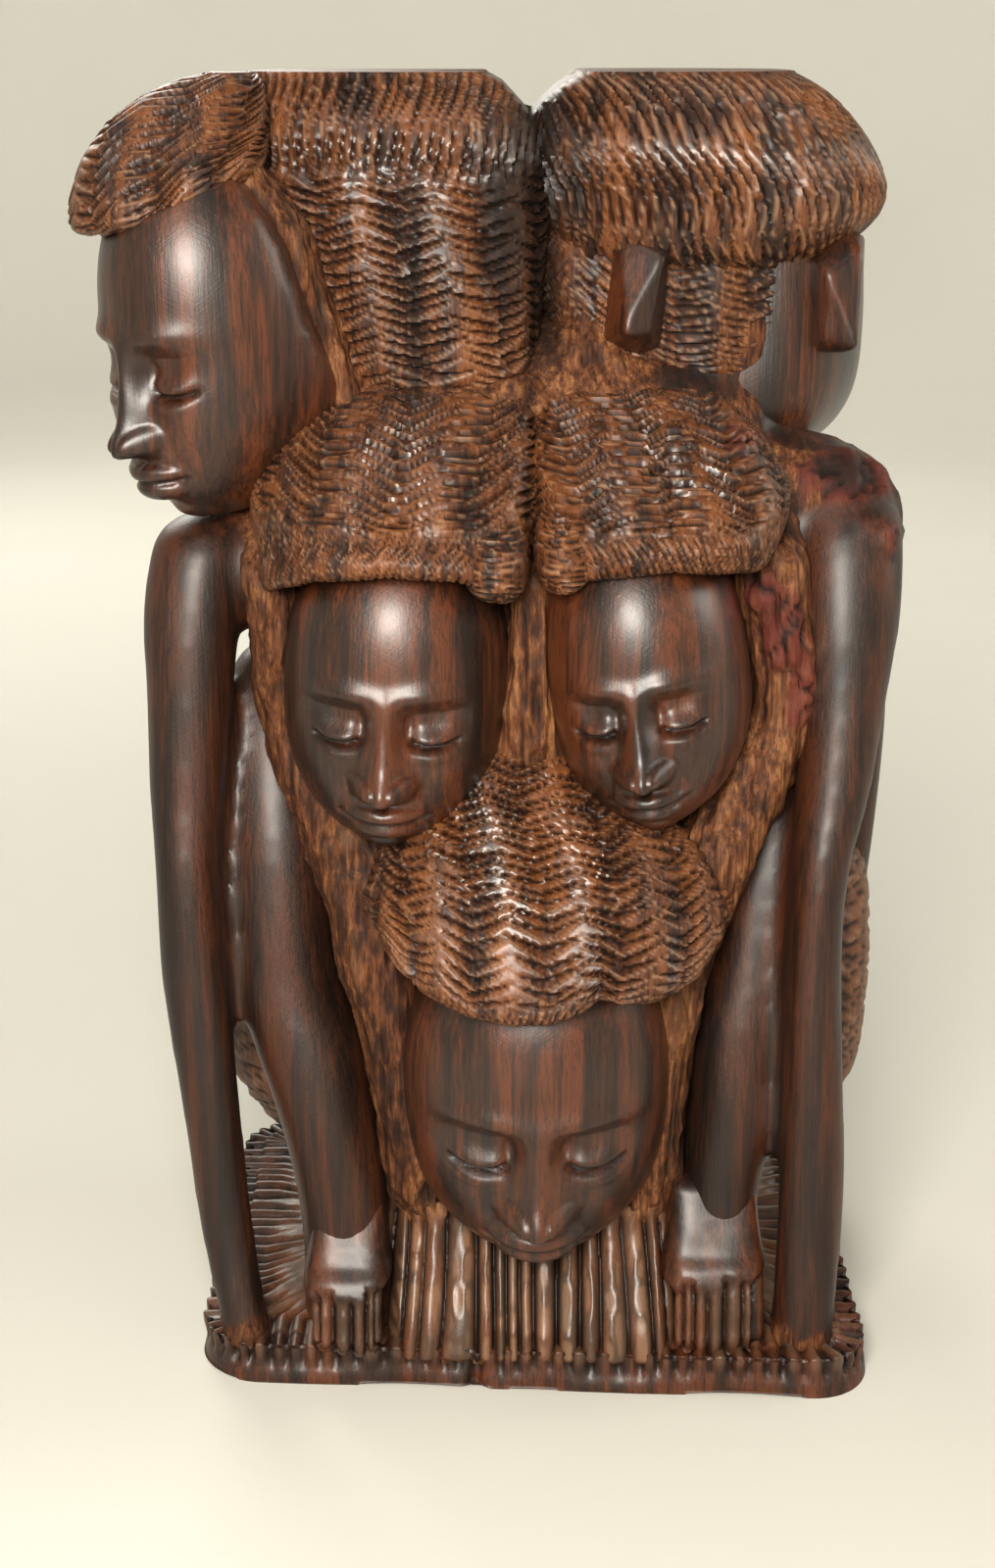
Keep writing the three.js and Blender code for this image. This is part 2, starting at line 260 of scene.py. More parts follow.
def faceRelief(u, v):
    # how far the features stand out, as a share of the face's depth, and how much painted shade darkens the
    # eye slits, the lips' parting and the nostrils:
    # u runs across the face and v up it, -1 at the chin
    a = np.abs(u)
    along = np.clip((0.2 - v) / 0.58, 0, 1)
    under = np.where(v < -0.4, np.exp(-(((v + 0.4) / 0.04) ** 2)), 1)
    ridge = np.exp(-((a / (0.12 + 0.07 * along)) ** 2.2))
    bridge = smooth(0.36, 0.08, v) * (0.06 + 0.17 * along**1.3) * ridge
    tip = 0.06 * spot(u, v + 0.33, 0.14, 0.09)
    wings = 0.09 * dome(a - 0.19, v + 0.335, 0.13, 0.085) ** 1.3
    nose = (bridge + tip + wings) * under
    nostril = spot(a - 0.12, v + 0.415, 0.055, 0.022)
    fold = 0.02 * np.exp(-(((a - 0.3 - 0.5 * (-0.36 - v)) / 0.035) ** 2)) * smooth(-0.28, -0.38, v)
    fold = fold * smooth(-0.66, -0.55, v)
    brow = 0.07 * spot(a - 0.38, v - 0.25 + 0.3 * (a - 0.36) ** 2, 0.34, 0.075)
    socket = 0.12 * spot(a - 0.4, v - 0.05, 0.25, 0.13) + 0.08 * spot(a - 0.19, v - 0.02, 0.08, 0.11)
    eye = (a - 0.42) / 0.22
    slitLine = -0.05 - 0.03 * (1 - eye**2)
    over = v - slitLine
    lidShape = np.where(over > 0, np.exp(-((over / 0.13) ** 2)), np.exp(-((over / 0.014) ** 2)))
    lid = 0.06 * lidShape * np.clip(1 - eye**2, 0, 1) ** 0.8
    slit = np.exp(-(((over + 0.026) / 0.024) ** 2)) * smooth(1.12, 0.8, np.abs(eye))
    lowerLid = 0.03 * np.exp(-(((over + 0.09) / 0.04) ** 2)) * np.clip(1 - eye**2, 0, 1)
    crease = 0.018 * np.exp(-(((over - 0.18) / 0.018) ** 2)) * smooth(1.15, 0.7, np.abs(eye))
    muzzle = 0.07 * spot(u, v + 0.6, 0.42, 0.22)
    groove = 0.016 * spot(u, v + 0.47, 0.035, 0.05)
    dip = 0.014 * spot(u, v + 0.495, 0.06, 0.022)
    upperLip = 0.095 * dome(u, (v + 0.558) / 0.068, 0.36, 1)
    lowerLip = 0.11 * dome(u, (v + 0.675) / 0.075, 0.31, 1)
    parting = np.exp(-(((v + 0.608 - 0.08 * u**2) / 0.013) ** 2)) * smooth(0.44, 0.32, a)
    underLip = 0.045 * spot(u, v + 0.8, 0.22, 0.04)
    chin = 0.09 * spot(u, v + 0.93, 0.26, 0.1)
    cheek = 0.055 * spot(a - 0.54, v + 0.26, 0.2, 0.2)
    raised = nose + brow + lid + lowerLid + muzzle + upperLip + lowerLip + chin + cheek
    sunk = 0.04 * nostril + fold + socket + 0.075 * slit + crease + groove + dip + 0.05 * parting + underLip
    return raised - sunk, np.clip(0.9 * slit + 0.8 * parting + 0.9 * nostril, 0, 1)


forehead = {"clear": 1.5, "back": 1.2, "most": 26, "down": 0.7}  # how it dives in under the hairline


def carveFace(name, head, columns=116, rows=140):
    w, d, down, up = head["face"]
    even = np.linspace(-math.pi, math.pi, columns, endpoint=False)
    turn = even - 0.6 * np.sin(even)
    share = np.linspace(0, 1, rows + 1)
    level = 0.4 * np.cos(math.pi * share) + 0.6 * (1 - 2 * share)
    level = level[:, None] * np.ones(columns)
    size = np.abs(level)
    z = np.where(level > 0, level * up, level * down)
    wide = w * (1 - size**2.6) ** 0.55
    deep = d * np.where(level > 0, (1 - size**2.6) ** 0.5, (1 - size**4.2) ** 0.4)
    front = np.maximum(0, np.cos(turn))[None, :]
    back = np.maximum(0, -np.cos(turn))[None, :]
    x = wide * np.sin(turn)
    features, lineShade = faceRelief(x / w, z / down)
    out = np.where(size == 1, 0, d * front * features)
    y = deep * (0.7 * back**0.85 - front**0.85) - out
    grid = placed(np.stack([x, y, z], -1), head["at"], head["turn"])
    if "hairline" in head:
        line = head["hairline"]
        over = grid[..., 2] - np.interp(grid[..., 0], line["x"], line["z"])
        buried = np.maximum(over - forehead["clear"], 0)
        grid[..., 1] += np.minimum(forehead["back"] * buried, forehead["most"])
        grid[..., 2] -= forehead["down"] * buried
    soft = grid + outward(grid) * 0.06 * grainNoise(grid, (4, 4, 6), 3)[..., None]
    scar, soot = patchAt(soft, "scar"), patchAt(soft, "soot")
    # painted shade in the eye slits, the lips' parting and the nostrils
    return carveBall(name, soft, polish=1.0, hollow=lineShade * (front > 0), scar=scar, soot=soot)


# The top of the block: sawn flat, with the hair rounded down at its ends and into the valley between two
# heads. Between the two plain heights the gouge cuts run out.

skyline = {
    "x": [-97, -92, -87, -80, -72, -62, -14, -7, -1, 5, 12, 54, 63, 71, 78, 84],
    "z": [252, 264, 271, 276, 279.5, 282, 282, 278, 271.5, 277, 282, 282, 278, 271, 261, 248],
    "round": 1.3,
    "plain": (281.8, 279),
}


def sawn(grid):
    top = np.interp(grid[..., 0], skyline["x"], skyline["z"])
    over = (grid[..., 2] - top) / skyline["round"]
    grid[..., 2] -= skyline["round"] * np.logaddexp(0, np.clip(over, -40, 40))
    return grid


# Patches of the wood, each of soft ellipsoids (centre, radii): knotted bark, dry unpolished wood, painted
# shade in the valleys, gloss where hands reach and the bare neck. An uneven patch has a ragged edge.

patches = {
    "scar": {
        "edge": (0.25, 0.6), "uneven": 0.25, "cell": (3, 3, 5), "seed": 11,
        "spots": [
            ((45, -43, 177), (8, 9, 5)), ((52, -39, 168), (5.5, 9, 9)), ((56, -37, 157), (3.6, 9, 9)),
            ((40, -26, 206), (8, 10, 4)), ((66, -18, 197), (11, 11, 6)), ((73, -22, 187), (6, 9, 4)),
        ],
    },
    "dry": {
        "edge": (0.25, 0.85), "uneven": 0.2, "cell": (5, 5, 9), "seed": 13,
        "spots": [
            ((-39, -52, 112), (9, 14, 16)), ((40, -50, 110), (9, 14, 14)), ((0, -68, 99), (40, 9, 4)),
            ((-30, -58, 187), (34, 14, 6)), ((26, -56, 187), (32, 14, 6)), ((-26, -26, 226), (30, 14, 15)),
            ((-60, -26, 254), (7, 14, 22)), ((40, -14, 228), (34, 14, 15)),
        ],
    },
    # painted shade in the valleys and creases between the heads
    "soot": {
        "edge": (0.2, 0.9), "uneven": 0.2, "cell": (5, 5, 9), "seed": 12,
        "spots": [
            ((0, 0, 264), (9, 30, 24)), ((2, -6, 236), (5, 20, 26)), ((-2, -22, 200), (5, 14, 16)),
            ((-7, -20, 250), (8, 20, 20)), ((-25, -20, 240), (1.6, 30, 40)), ((30, -22, 203), (14, 12, 7)),
            ((-60, -16, 262), (4, 12, 16)), ((66, -18, 198), (10, 10, 5.5)),
        ],
    },
    "gloss": {
        "edge": (0.2, 0.8),
        "spots": [
            ((-4, -60, 126), (26, 20, 22)), ((-30, -44, 203), (20, 18, 10)), ((30, -40, 202), (18, 16, 9)),
            ((40, -6, 264), (34, 16, 9)), ((-30, -14, 262), (26, 14, 9)),
        ],
    },
    "neck": {"edge": (0.3, 0.6), "spots": [((36, -14, 218), (12, 10, 6))]},
}


def patchAt(grid, name):
    # how much of the patch is at each point, from 0 to 1
    patch = patches[name]
    total = np.zeros(grid.shape[:-1])
    for centre, radii in patch["spots"]:
        away = (((grid - np.array(centre)) / np.array(radii)) ** 2).sum(-1)
        total = np.maximum(total, np.exp(-away))
    if "uneven" in patch:
        total = total + patch["uneven"] * grainNoise(grid, patch["cell"], patch["seed"])
    return smooth(*patch["edge"], total)


def barkAt(grid):
    # knotted bark in the wood: lumps with cracks between them
    scar = patchAt(grid, "scar")
    lumps = np.abs(grainNoise(grid, (3.2, 3.2, 4.4), 15))
    crack = scar * smooth(0.2, 0.04, lumps)
    return scar * (0.9 + 1.5 * lumps) - 1.5 * crack, crack


hairlines = {
    "upperLeft": {
        "x": [-96, -86, -77, -68, -61, -57, -54, -51, -46, -40],
        "z": [249.5, 250, 252, 256, 259, 254, 250, 245, 229, 214],
    },
    "middleLeft": {
        "x": [-62, -57, -51, -44, -30, -16, -9, -4, 0],
        "z": [175, 177, 181, 184, 185.5, 184.5, 182, 179, 177],
    },
    "middleRight": {
        "x": [-1, 4, 9, 14, 27, 40, 48, 56],
        "z": [177, 180, 183.5, 184.5, 186, 184.5, 182, 179],
    },
    "lowest": {
        "x": [-43, -34, -24, -14, -5, 3, 9, 13, 17, 24, 34, 44],
        "z": [108, 105, 99.5, 95.8, 94.5, 94.8, 97, 100.2, 98.4, 97.6, 98.5, 103],
    },
}
faceForms = {
    "upperLeft": {"at": (-63, -20, 217), "turn": (-44, 12, 0), "face": (22, 28, 35, 42)},
    "middleLeft": {"at": (-29, -34, 147), "turn": (-4, 8, 2), "face": (24, 28, 32, 38)},
    "middleRight": {"at": (24, -34, 149), "turn": (-8, 8, -8), "face": (21.5, 28, 30, 37)},
    "lowest": {"at": (0.5, -38, 58), "turn": (0, 14, 0), "face": (30, 31, 38, 44)},
}
for name, line in hairlines.items():
    faceForms[name]["hairline"] = line
farFaces = {
    "upperMiddle": {"at": (-30, 4, 222), "turn": (200, 4, 0), "face": (25, 37, 30, 48)},
    "upperRight": {"at": (44, 14, 214), "turn": (150, 4, 0), "face": (27.5, 33, 29, 50)},
    "lowerBackLeft": {"at": (-46, 26, 52), "turn": (205, 6, 0), "face": (24, 30, 30, 46)},
    "lowerBackRight": {"at": (52, 26, 52), "turn": (152, 6, 0), "face": (24, 30, 30, 46)},
}
faces = {name: carveFace(name + "Face", head) for name, head in faceForms.items()}
backFaces = [carveFace(name + "BackFace", head, 64, 74) for name, head in farFaces.items()]
print("faces carved")


# Hair. Each form is a stack of level rings (z, left, right, front, back) from its top to its underside, with
# z from the floor. Where it has a rim, the last rings bend to follow its height from left to right. The
# crown's cuts run along the rings, and a zone's cuts stand upright where its test says.

def ringSpline(rings, share):
    # a smooth line through the rings, at each share of the way
    rings = np.array(rings, float)
    last = len(rings) - 1
    where = np.clip(share * last, 0, last)
    index = np.minimum(where.astype(int), last - 1)
    part = (where - index)[:, None]
    before = rings[np.maximum(index - 1, 0)]
    start, end = rings[index], rings[index + 1]
    after = rings[np.minimum(index + 2, last)]
    bend = 2 * start + (end - before) * part + (2 * before - 5 * start + 4 * end - after) * part**2
    return 0.5 * (bend + (3 * start - before - 3 * end + after) * part**3)


def evenRings(rings, count):
    # count rings along the spline, the same way apart down the front
    fine = ringSpline(rings, np.linspace(0, 1, 1200))
    step = np.abs(np.diff(fine, axis=0))
    way = np.hypot(np.hypot(step[:, 0], step[:, 3]), 0.35 * (step[:, 1] + step[:, 2]))
    total = np.concatenate([[0], np.cumsum(way)])
    return ringSpline(rings, np.interp(np.linspace(0, total[-1], count), total, np.linspace(0, 1, 1200)))


def loft(form, columns, rows, frontWeight):
    line = evenRings(form["rings"], rows - 1)
    turn = turns(columns, frontWeight)
    side = np.stack([np.sin(turn), -np.cos(turn)], -1)
    leftSquare, rightSquare = form.get("squares", (2.4, 2.4))
    square = leftSquare + (rightSquare - leftSquare) * smooth(-0.4, 0.4, np.sin(turn))
    side = side / ((np.abs(side) ** square[:, None]).sum(-1) ** (1 / square))[:, None]
    z, left, right, front, back = (line[:, number, None] for number in range(5))
    grid = np.zeros((rows + 1, columns, 3))
    grid[1:-1, :, 0] = (left + right) / 2 + (right - left) / 2 * side[:, 0]
    grid[1:-1, :, 1] = (front + back) / 2 + (back - front) / 2 * side[:, 1]
    grid[1:-1, :, 2] = z
    for end, near in ((0, 1), (-1, -2)):
        grid[end] = grid[near].mean(0)
    if "rim" in form:
        rim = form["rim"]
        height = np.interp(grid[..., 0], rim["x"], rim["z"]) - rim["level"]
        grid[..., 2] += height * smooth(rim["level"] + rim["reach"], rim["level"], grid[..., 2])
    return grid


def hairCuts(grid, cut):
    x, z = grid[..., 0], grid[..., 2]
    s, t = alongRing(grid), downRows(grid)
    bend = cut["crown"].get("bend", lambda x: 0 * x)(x)
    pattern = gouges(s, t + bend, cut["crown"], cut["seed"])
    for zone in cut.get("zones", []):
        share = zone["where"](z, 3 * grainNoise(grid, (9, 9, 14), 5))
        lean = zone.get("lean", 0) * t
        other = gouges(t, s + lean, zone, cut["seed"] + 9, gouge["zoneSlant"])
        pattern = [old * (1 - share) + new * share for old, new in zip(pattern, other)]
    return pattern


def carveHair(name, form):
    cut = form["hair"]
    grid = loft(form, cut["columns"], cut["rows"], cut.get("front", 5))
    normal = outward(grid)
    relief, cutShadow, lip = hairCuts(grid, cut)
    relief = relief + 0.05 * grainNoise(grid, (1.2, 1.2, 1.8), cut["seed"])
    bark, crack = barkAt(grid)
    dry, gloss = patchAt(grid, "dry"), patchAt(grid, "gloss")
    if cut.get("torn"):
        # split out in chips at both sides
        chips = np.abs(grainNoise(grid, (1.9, 1.9, 4), 51)) + 0.7 * np.abs(grainNoise(grid, (4, 4, 7), 52))
        torn = 0.85 * dry * smooth(24, 30, np.abs(grid[..., 0] - 1))
        relief = relief * (1 - torn) + 1.7 * chips * torn
        lip = lip * (1 - torn) + torn * smooth(0.25, 0.05, chips)
    relief = relief * (1 - 0.7 * patchAt(grid, "scar")) - 0.7 * bark
    # painted shade also fills the cracks in the bark
    cutShadow = np.maximum(cutShadow, crack)
    uncut = smooth(*skyline["plain"], grid[..., 2])
    relief, cutShadow, lip = relief * uncut, cutShadow * uncut, lip * uncut
    grid = sawn(grid - normal * relief[..., None])
    polish = cut.get("polish", 0.5) * (1 - 0.6 * dry) + 0.75 * gloss - 0.25 * cutShadow
    # painted shadow in the cuts and cracks, and painted highlights, partly paler worn wood, on the cuts'
    # edges and the torn chips
    marks = {"polish": polish, "hollow": cutShadow, "lip": lip, "hair": 1.0}
    return carveBall(name, grid, scar=patchAt(grid, "scar"), soot=patchAt(grid, "soot"), **marks)


def above(height):
    return lambda z, wave: smooth(height - 3, height + 3, z + wave)


def below(height):
    return lambda z, wave: smooth(height + 2, height - 2, z + 0.3 * wave)


def napeBend(x):
    # chevrons beside the near ear and hanging curves between the ears
    return np.where(x < 22, -0.75 * np.abs(x - 9), -9.75 + 0.009 * (x - 42) ** 2 - 3.6)


def curlHair(seed, middle):
    # a small roll of hair, with cuts that arch over its middle
    bend = lambda x: -0.07 * (x - middle) ** 2
    return {
        "columns": 72, "rows": 46, "seed": seed, "polish": 0.4,
        "crown": {"long": 9, "tall": 1.5, "deep": 0.8, "bend": bend},
    }


backRings = [
    (113, 50, 12, 4, 26), (110, 50, 18, -2, 34), (100, 49, 25, -8, 42), (84, 48, 28, -11, 45),
    (66, 48, 28, -11, 45), (48, 49, 25, -8, 42), (34, 49, 17, 0, 34), (28, 49, 9, 8, 24),
]


def backHead(side, shift, wider, seed):
    # the hair of a lower rear head, whose rings are (z, way out to the middle, half width, front, back)
    rings = []
    for z, out, half, front, back in backRings:
        middle = side * out + shift
        rings.append((z, middle - half - wider, middle + half + wider, front, back))
    crown = {"long": 12, "tall": 4.4, "deep": 1.2}
    return {"rings": rings, "hair": {"columns": 96, "rows": 84, "seed": seed, "front": 1, "crown": crown}}


hairForms = {
    "upperLeft": {
        "rings": [
            (281, -78, -60, -14, 0), (279, -83, -57, -20, 4), (273, -89, -55, -29, 8),
            (266, -93, -55, -36, 8), (259, -95, -55, -41, 8), (254, -95.8, -55, -43, 8),
            (250.5, -95.3, -56, -42.5, 6), (249, -92.5, -58, -39, 4), (249.5, -86, -62, -33, 0),
        ],
        "rim": {
            "x": [-96, -86, -77, -68, -61, -52],
            "z": [249.5, 250, 252, 256, 259.5, 262],
            "level": 250, "reach": 22,
        },
        "hair": {
            "columns": 200, "rows": 100, "seed": 1,
            "crown": {"long": 7.5, "tall": 2.3, "deep": 1.25, "bend": lambda x: 0.5 * (x + 75)},
        },
    },
    "upperMiddle": {
        "rings": [
            (282, -58, -8, -2, 34), (280, -62, -1, -8, 38), (274, -65, 4, -13, 40),
            (264, -65, 5, -18, 40), (252, -60, 4, -22, 38), (240, -55, 2.5, -24.5, 34),
            (228, -50, 1.5, -25.5, 28), (219, -46, 1, -25, 24), (214, -43, 0, -21, 20),
            (212, -38, -6, -14, 16),
        ],
        "squares": (2.7, 3),
        "hair": {
            "columns": 260, "rows": 165, "seed": 5, "front": 3,
            "crown": {"long": 8.4, "tall": 2.5, "deep": 1.7},
            "zones": [{"where": above(259), "long": 8, "tall": 2.5, "deep": 1.4, "lean": 0.3}],
        },
    },
    "upperRight": {
        "rings": [
            (282, 8, 50, 4, 42), (280, 2, 57, -5, 47), (274, -3, 66, -12, 48), (265, -4, 73, -17, 48),
            (257, -3, 76.5, -18.5, 47), (251, -1, 75.5, -17.5, 45), (246, 2, 71, -15.8, 42),
            (242, 5, 66, -14.2, 38), (240, 12, 60, -11, 34), (240, 20, 52, -5, 30),
        ],
        "squares": (3, 2.4),
        "hair": {
            "columns": 260, "rows": 105, "seed": 6, "front": 3,
            "crown": {"long": 8, "tall": 2.2, "deep": 1.1},
            "zones": [{"where": above(238), "long": 9.5, "tall": 2.8, "deep": 1.6, "lean": -0.25}],
        },
    },
    "nape": {
        "rings": [
            (256, -2, 62, -6, 30), (250, -3, 64, -10, 32), (238, -3, 63, -13, 32), (228, 0, 61, -14, 30),
            (221, 6, 58, -13, 28), (217, 14, 54, -10.5, 26), (215, 20, 46, -4, 22),
        ],
        "hair": {
            "columns": 190, "rows": 84, "seed": 16, "polish": 0.45,
            "crown": {"long": 8, "tall": 2.0, "deep": 1.1, "bend": napeBend},
        },
    },
    "middleLeft": {
        "rings": [
            (218, -42, -8, -14, 8), (216.5, -48, -2, -26, 10), (212, -53.5, 0.5, -38, 12),
            (206, -57.5, 1.2, -48, 12), (200, -59.5, 1.2, -55.5, 12), (195.5, -60, 0.8, -59.5, 10),
            (193, -59.6, 0.3, -60.4, 8), (190.5, -59.4, 0, -62.8, 8), (187.5, -58.8, -0.8, -64.2, 6),
            (185, -57.5, -2, -63.6, 4), (183.6, -55, -4, -60.5, 2), (184, -50, -9, -54, 0),
        ],
        "squares": (2.3, 3.6),
        "rim": {**hairlines["middleLeft"], "level": 184, "reach": 16},
        "hair": {
            "columns": 260, "rows": 112, "seed": 2,
            "crown": {"long": 8.6, "tall": 2.5, "deep": 1.5, "bend": lambda x: 0.3 * np.abs(x + 26)},
            "zones": [{"where": below(194), "long": 6.5, "tall": 1.5, "deep": 0.8, "lean": 0.45}],
        },
    },
    "middleRight": {
        "rings": [
            (217, 6, 30, -12, 8), (215.5, 0, 38, -24, 10), (211, -1.5, 44, -35, 12),
            (205, -2.2, 49.5, -45, 12), (199, -2.4, 53, -52.5, 12), (195, -2, 53.5, -56.6, 10),
            (192.6, -1.6, 52.6, -57.4, 8), (190, -1.3, 51.4, -59.8, 8), (187.5, -0.5, 50, -61, 6),
            (185, 1, 48.4, -60.4, 4), (183.6, 3, 46, -57.4, 2), (184, 9, 40, -51, 0),
        ],
        "squares": (3.6, 2.4),
        "rim": {**hairlines["middleRight"], "level": 184, "reach": 16},
        "hair": {
            "columns": 250, "rows": 110, "seed": 3,
            "crown": {"long": 8.6, "tall": 2.5, "deep": 1.5, "bend": lambda x: -0.35 * np.abs(x - 27)},
            "zones": [{"where": below(193), "long": 6.5, "tall": 1.5, "deep": 0.8, "lean": -0.45}],
        },
    },
    "leftCurl": {
        "rings": [
            (197, -12, -4, -52, -34), (193, -15, -2, -59, -32), (188.5, -16, -1.2, -64, -30),
            (184, -15.5, -1.2, -64.6, -30), (180.5, -13.5, -2.2, -61.5, -32), (179, -10, -4.5, -56, -34),
        ],
        "hair": curlHair(21, -8.5),
    },
    "rightCurl": {
        "rings": [
            (197, 1, 8, -50, -34), (193, -0.5, 10.5, -56, -32), (188.5, -1, 12, -60.6, -30),
            (184.5, -0.6, 11.6, -61.2, -30), (181.5, 1, 9.6, -58.5, -32), (180, 3.5, 7, -53, -34),
        ],
        "hair": curlHair(22, 5.5),
    },
    "lowest": {
        "rings": [
            (150, -7, 3, -38, -20), (146, -12, 6, -44, -16), (139, -20, 12, -51, -14),
            (131, -29, 26, -57.5, -12), (123, -35.5, 37, -63, -10), (115, -38, 42, -68, -10),
            (107, -37.5, 42.5, -72, -12), (101, -35, 39.5, -74.3, -14), (97.5, -33, 36, -74.3, -16),
            (96, -30, 32, -70, -20), (96.5, -22, 24, -62, -26),
        ],
        "squares": (2.5, 2.5),
        "rim": {**hairlines["lowest"], "level": 97, "reach": 22},
        "hair": {
            "columns": 290, "rows": 150, "seed": 4, "torn": True,
            "crown": {"long": 7.6, "tall": 2.5, "deep": 1.7},
            "zones": [{"where": below(99), "long": 6, "tall": 1.5, "deep": 0.5}],
        },
    },
    "lowerBackLeft": backHead(-1, 0, 0, 7),
    "lowerBackRight": backHead(1, 5, 1, 8),
}
hairs = {name: carveHair(name + "Hair", form) for name, form in hairForms.items()}
print("hair carved")


# Limbs and trunk: level rings from top to bottom, each (x, y, z, half width, half depth), with z from the
# base's top. What stands on the base sinks into it.

def carveLimb(name, rings, columns=40, rows=70, square=2.2):
    turn = turns(columns)
    share = np.linspace(0, 1, rows - 1)
    line = ringSpline(rings, share)
    side = np.stack([np.sin(turn), -np.cos(turn)], -1)
    reach = 1 / (np.abs(side) ** square).sum(-1) ** (1 / square)
    grid = np.zeros((rows + 1, columns, 3))
    for axis in (0, 1):
        edge = line[:, axis, None] + line[:, 3 + axis, None] * (side[:, axis] * reach)[None, :]
        grid[1:-1, :, axis] = edge
        grid[0, :, axis] = line[0, axis]
        grid[-1, :, axis] = line[-1, axis]
    grid[1:-1, :, 2] = line[:, 2, None]
    grid[0, :, 2] = line[0, 2] + 0.3 * line[0, 3]
    grid[-1, :, 2] = line[-1, 2]
    grid[..., 2] += block["baseThickness"]
    return carveBall(name, grid)


def carveLump(name, centre, radii, columns=48, rows=32):
    fall = np.linspace(0, math.pi, rows + 1)
    grid = lump(centre, radii, 2.0, turns(columns), fall) + np.array([0, 0, block["baseThickness"]])
    return carveBall(name, grid)


sink = 4
trunk = [
    (4, 8, 214, 34, 20),
    (2, 4, 202, 52, 26),
    (1, 0, 168, 58, 33),
    (0, 1, 128, 55, 36),
    (0, 3, 78, 50, 38),
    (0, 4, 30, 50, 40),
    (0, 4, -sink, 52, 41),
]
arms = {
    "leftArm": [
        (-70, -20, 180, 5, 6),
        (-71.5, -22, 175, 9.6, 10.5),
        (-73.3, -26, 160, 10.3, 11),
        (-74, -29, 144, 9.3, 10.5),
        (-74.8, -33, 123, 8.2, 9.5),
        (-75, -38, 104, 6.9, 8.5),
        (-74, -40, 80, 7.2, 8),
        (-71.5, -42, 51, 6.3, 7),
        (-68.8, -44, 22, 5.8, 6.5),
        (-64, -50, -sink, 5, 6),
    ],
    "rightArm": [
        (67.5, -16, 184, 7, 7),
        (67, -19, 178, 11.6, 11.5),
        (66.6, -25, 160, 11.6, 12),
        (66.1, -30, 144, 9.4, 10.5),
        (64, -36, 124, 8, 9.5),
        (61, -42, 106, 6.2, 8.5),
        (60.4, -44, 82, 6.2, 8),
        (61.7, -47, 36, 7.2, 7.5),
        (60.5, -50.5, -sink, 6.8, 7),
    ],
}
legs = {
    "leftLeg": [
        (-58, -10, 148, 6, 7),
        (-58, -14, 138, 11, 11),
        (-57, -22, 110, 12, 15),
        (-55.4, -28, 80, 12.1, 15),
        (-50.9, -32, 65, 12.1, 14.5),
        (-46.9, -35, 49, 10.9, 14),
        (-43.6, -37, 33, 10.5, 12.5),
        (-42.5, -38, 20, 9.9, 12),
        (-42, -38, -sink, 10, 13),
    ],
    "rightLeg": [
        (56, -8, 146, 6, 7),
        (56, -12, 136, 10, 11),
        (53, -20, 110, 12, 14),
        (48.5, -28, 81, 11.5, 14.5),
        (45.8, -32, 67, 10.9, 14),
        (45, -35, 51, 10.2, 13),
        (43, -37, 35, 9, 12),
        (42, -38, 21, 8.6, 12),
        (41.5, -38, -sink, 9, 13),
    ],
}
thighs = {
    side: [
        (sign * 58, -8, 146, 6, 8),
        (sign * 57, -2, 138, 10, 14),
        (sign * 53, 6, 120, 12, 22),
        (sign * 49, 12, 96, 10, 22),
        (sign * 46, 14, 76, 6, 14),
    ]
    for side, sign in {"leftThigh": -1, "rightThigh": 1}.items()
}
farArms = {
    "backLeftArm": [
        (-30, 36, 188, 9, 9),
        (-24, 42, 150, 9, 9),
        (-17, 45, 110, 7.5, 8),
        (-13, 47, 60, 7, 8),
        (-11, 48, -sink, 6.5, 7),
    ],
    "backRightArm": [
        (33, 36, 190, 9, 9),
        (26, 42, 150, 9, 9),
        (19, 45, 110, 7.5, 8),
        (15, 47, 60, 7, 8),
        (12, 48, -sink, 6.5, 7),
    ],
    "sideArm": [
        (72, 6, 172, 6, 8),
        (76, 10, 140, 6, 8),
        (77, 14, 110, 5.5, 8),
        (74, 20, 70, 6, 9),
        (68, 22, 40, 6, 9),
    ],
}
lumps = {
    "leftShoulder": ((-62, -14, 168), (18, 17, 14)),
    "rightShoulder": ((54, -7, 176), (27, 19, 20)),
    "backLeftShoulder": ((-32, 22, 184), (28, 20, 18)),
    "backRightShoulder": ((34, 22, 184), (28, 20, 18)),
    "neck": ((41, 8, 216), (22, 20, 22)),
}
body = {"voxel": 1.8, "softening": 7, "fibreDeep": 0.55, "waxDeep": 0.06, "barkDeep": 0.7, "polish": 0.55}


def selectOnly(pieces):
    bpy.ops.object.select_all(action="DESELECT")
    for piece in pieces:
        piece.select_set(True)
    bpy.context.view_layer.objects.active = pieces[0]


def joined(pieces, name):
    selectOnly(pieces)
    if len(pieces) > 1:
        bpy.ops.object.join()
    pieces[0].name = name
    return pieces[0]


def limbShare(points, rings):
    # about 1 on the surface of a limb and less inside it
    rings = np.array(rings, float)
    line = ringSpline(rings, np.linspace(0, 1, 200))
    order = np.argsort(line[:, 2])
    z = points[..., 2] - block["baseThickness"]
    x, y, a, b = (np.interp(z, line[order, 2], line[order, column]) for column in (0, 1, 3, 4))
    return np.hypot((points[..., 0] - x) / a, (points[..., 1] - y) / b)


def oneSkin(forms, name):
    # the forms joined to one closed skin and softened where they meet
    whole = joined(forms, name)
    remesh = whole.modifiers.new("one skin", "REMESH")
    remesh.mode = "VOXEL"
    remesh.voxel_size = body["voxel"] * millimetre
    remesh.adaptivity = 0
    soften = whole.modifiers.new("soften", "SMOOTH")
    soften.factor = 0.5
    soften.iterations = body["softening"]
    for modifier in ("one skin", "soften"):
        bpy.ops.object.modifier_apply(modifier=modifier)
    for mark in list(whole.data.attributes.keys()):
        if mark in markNames:
            whole.data.attributes.remove(whole.data.attributes[mark])
    return whole


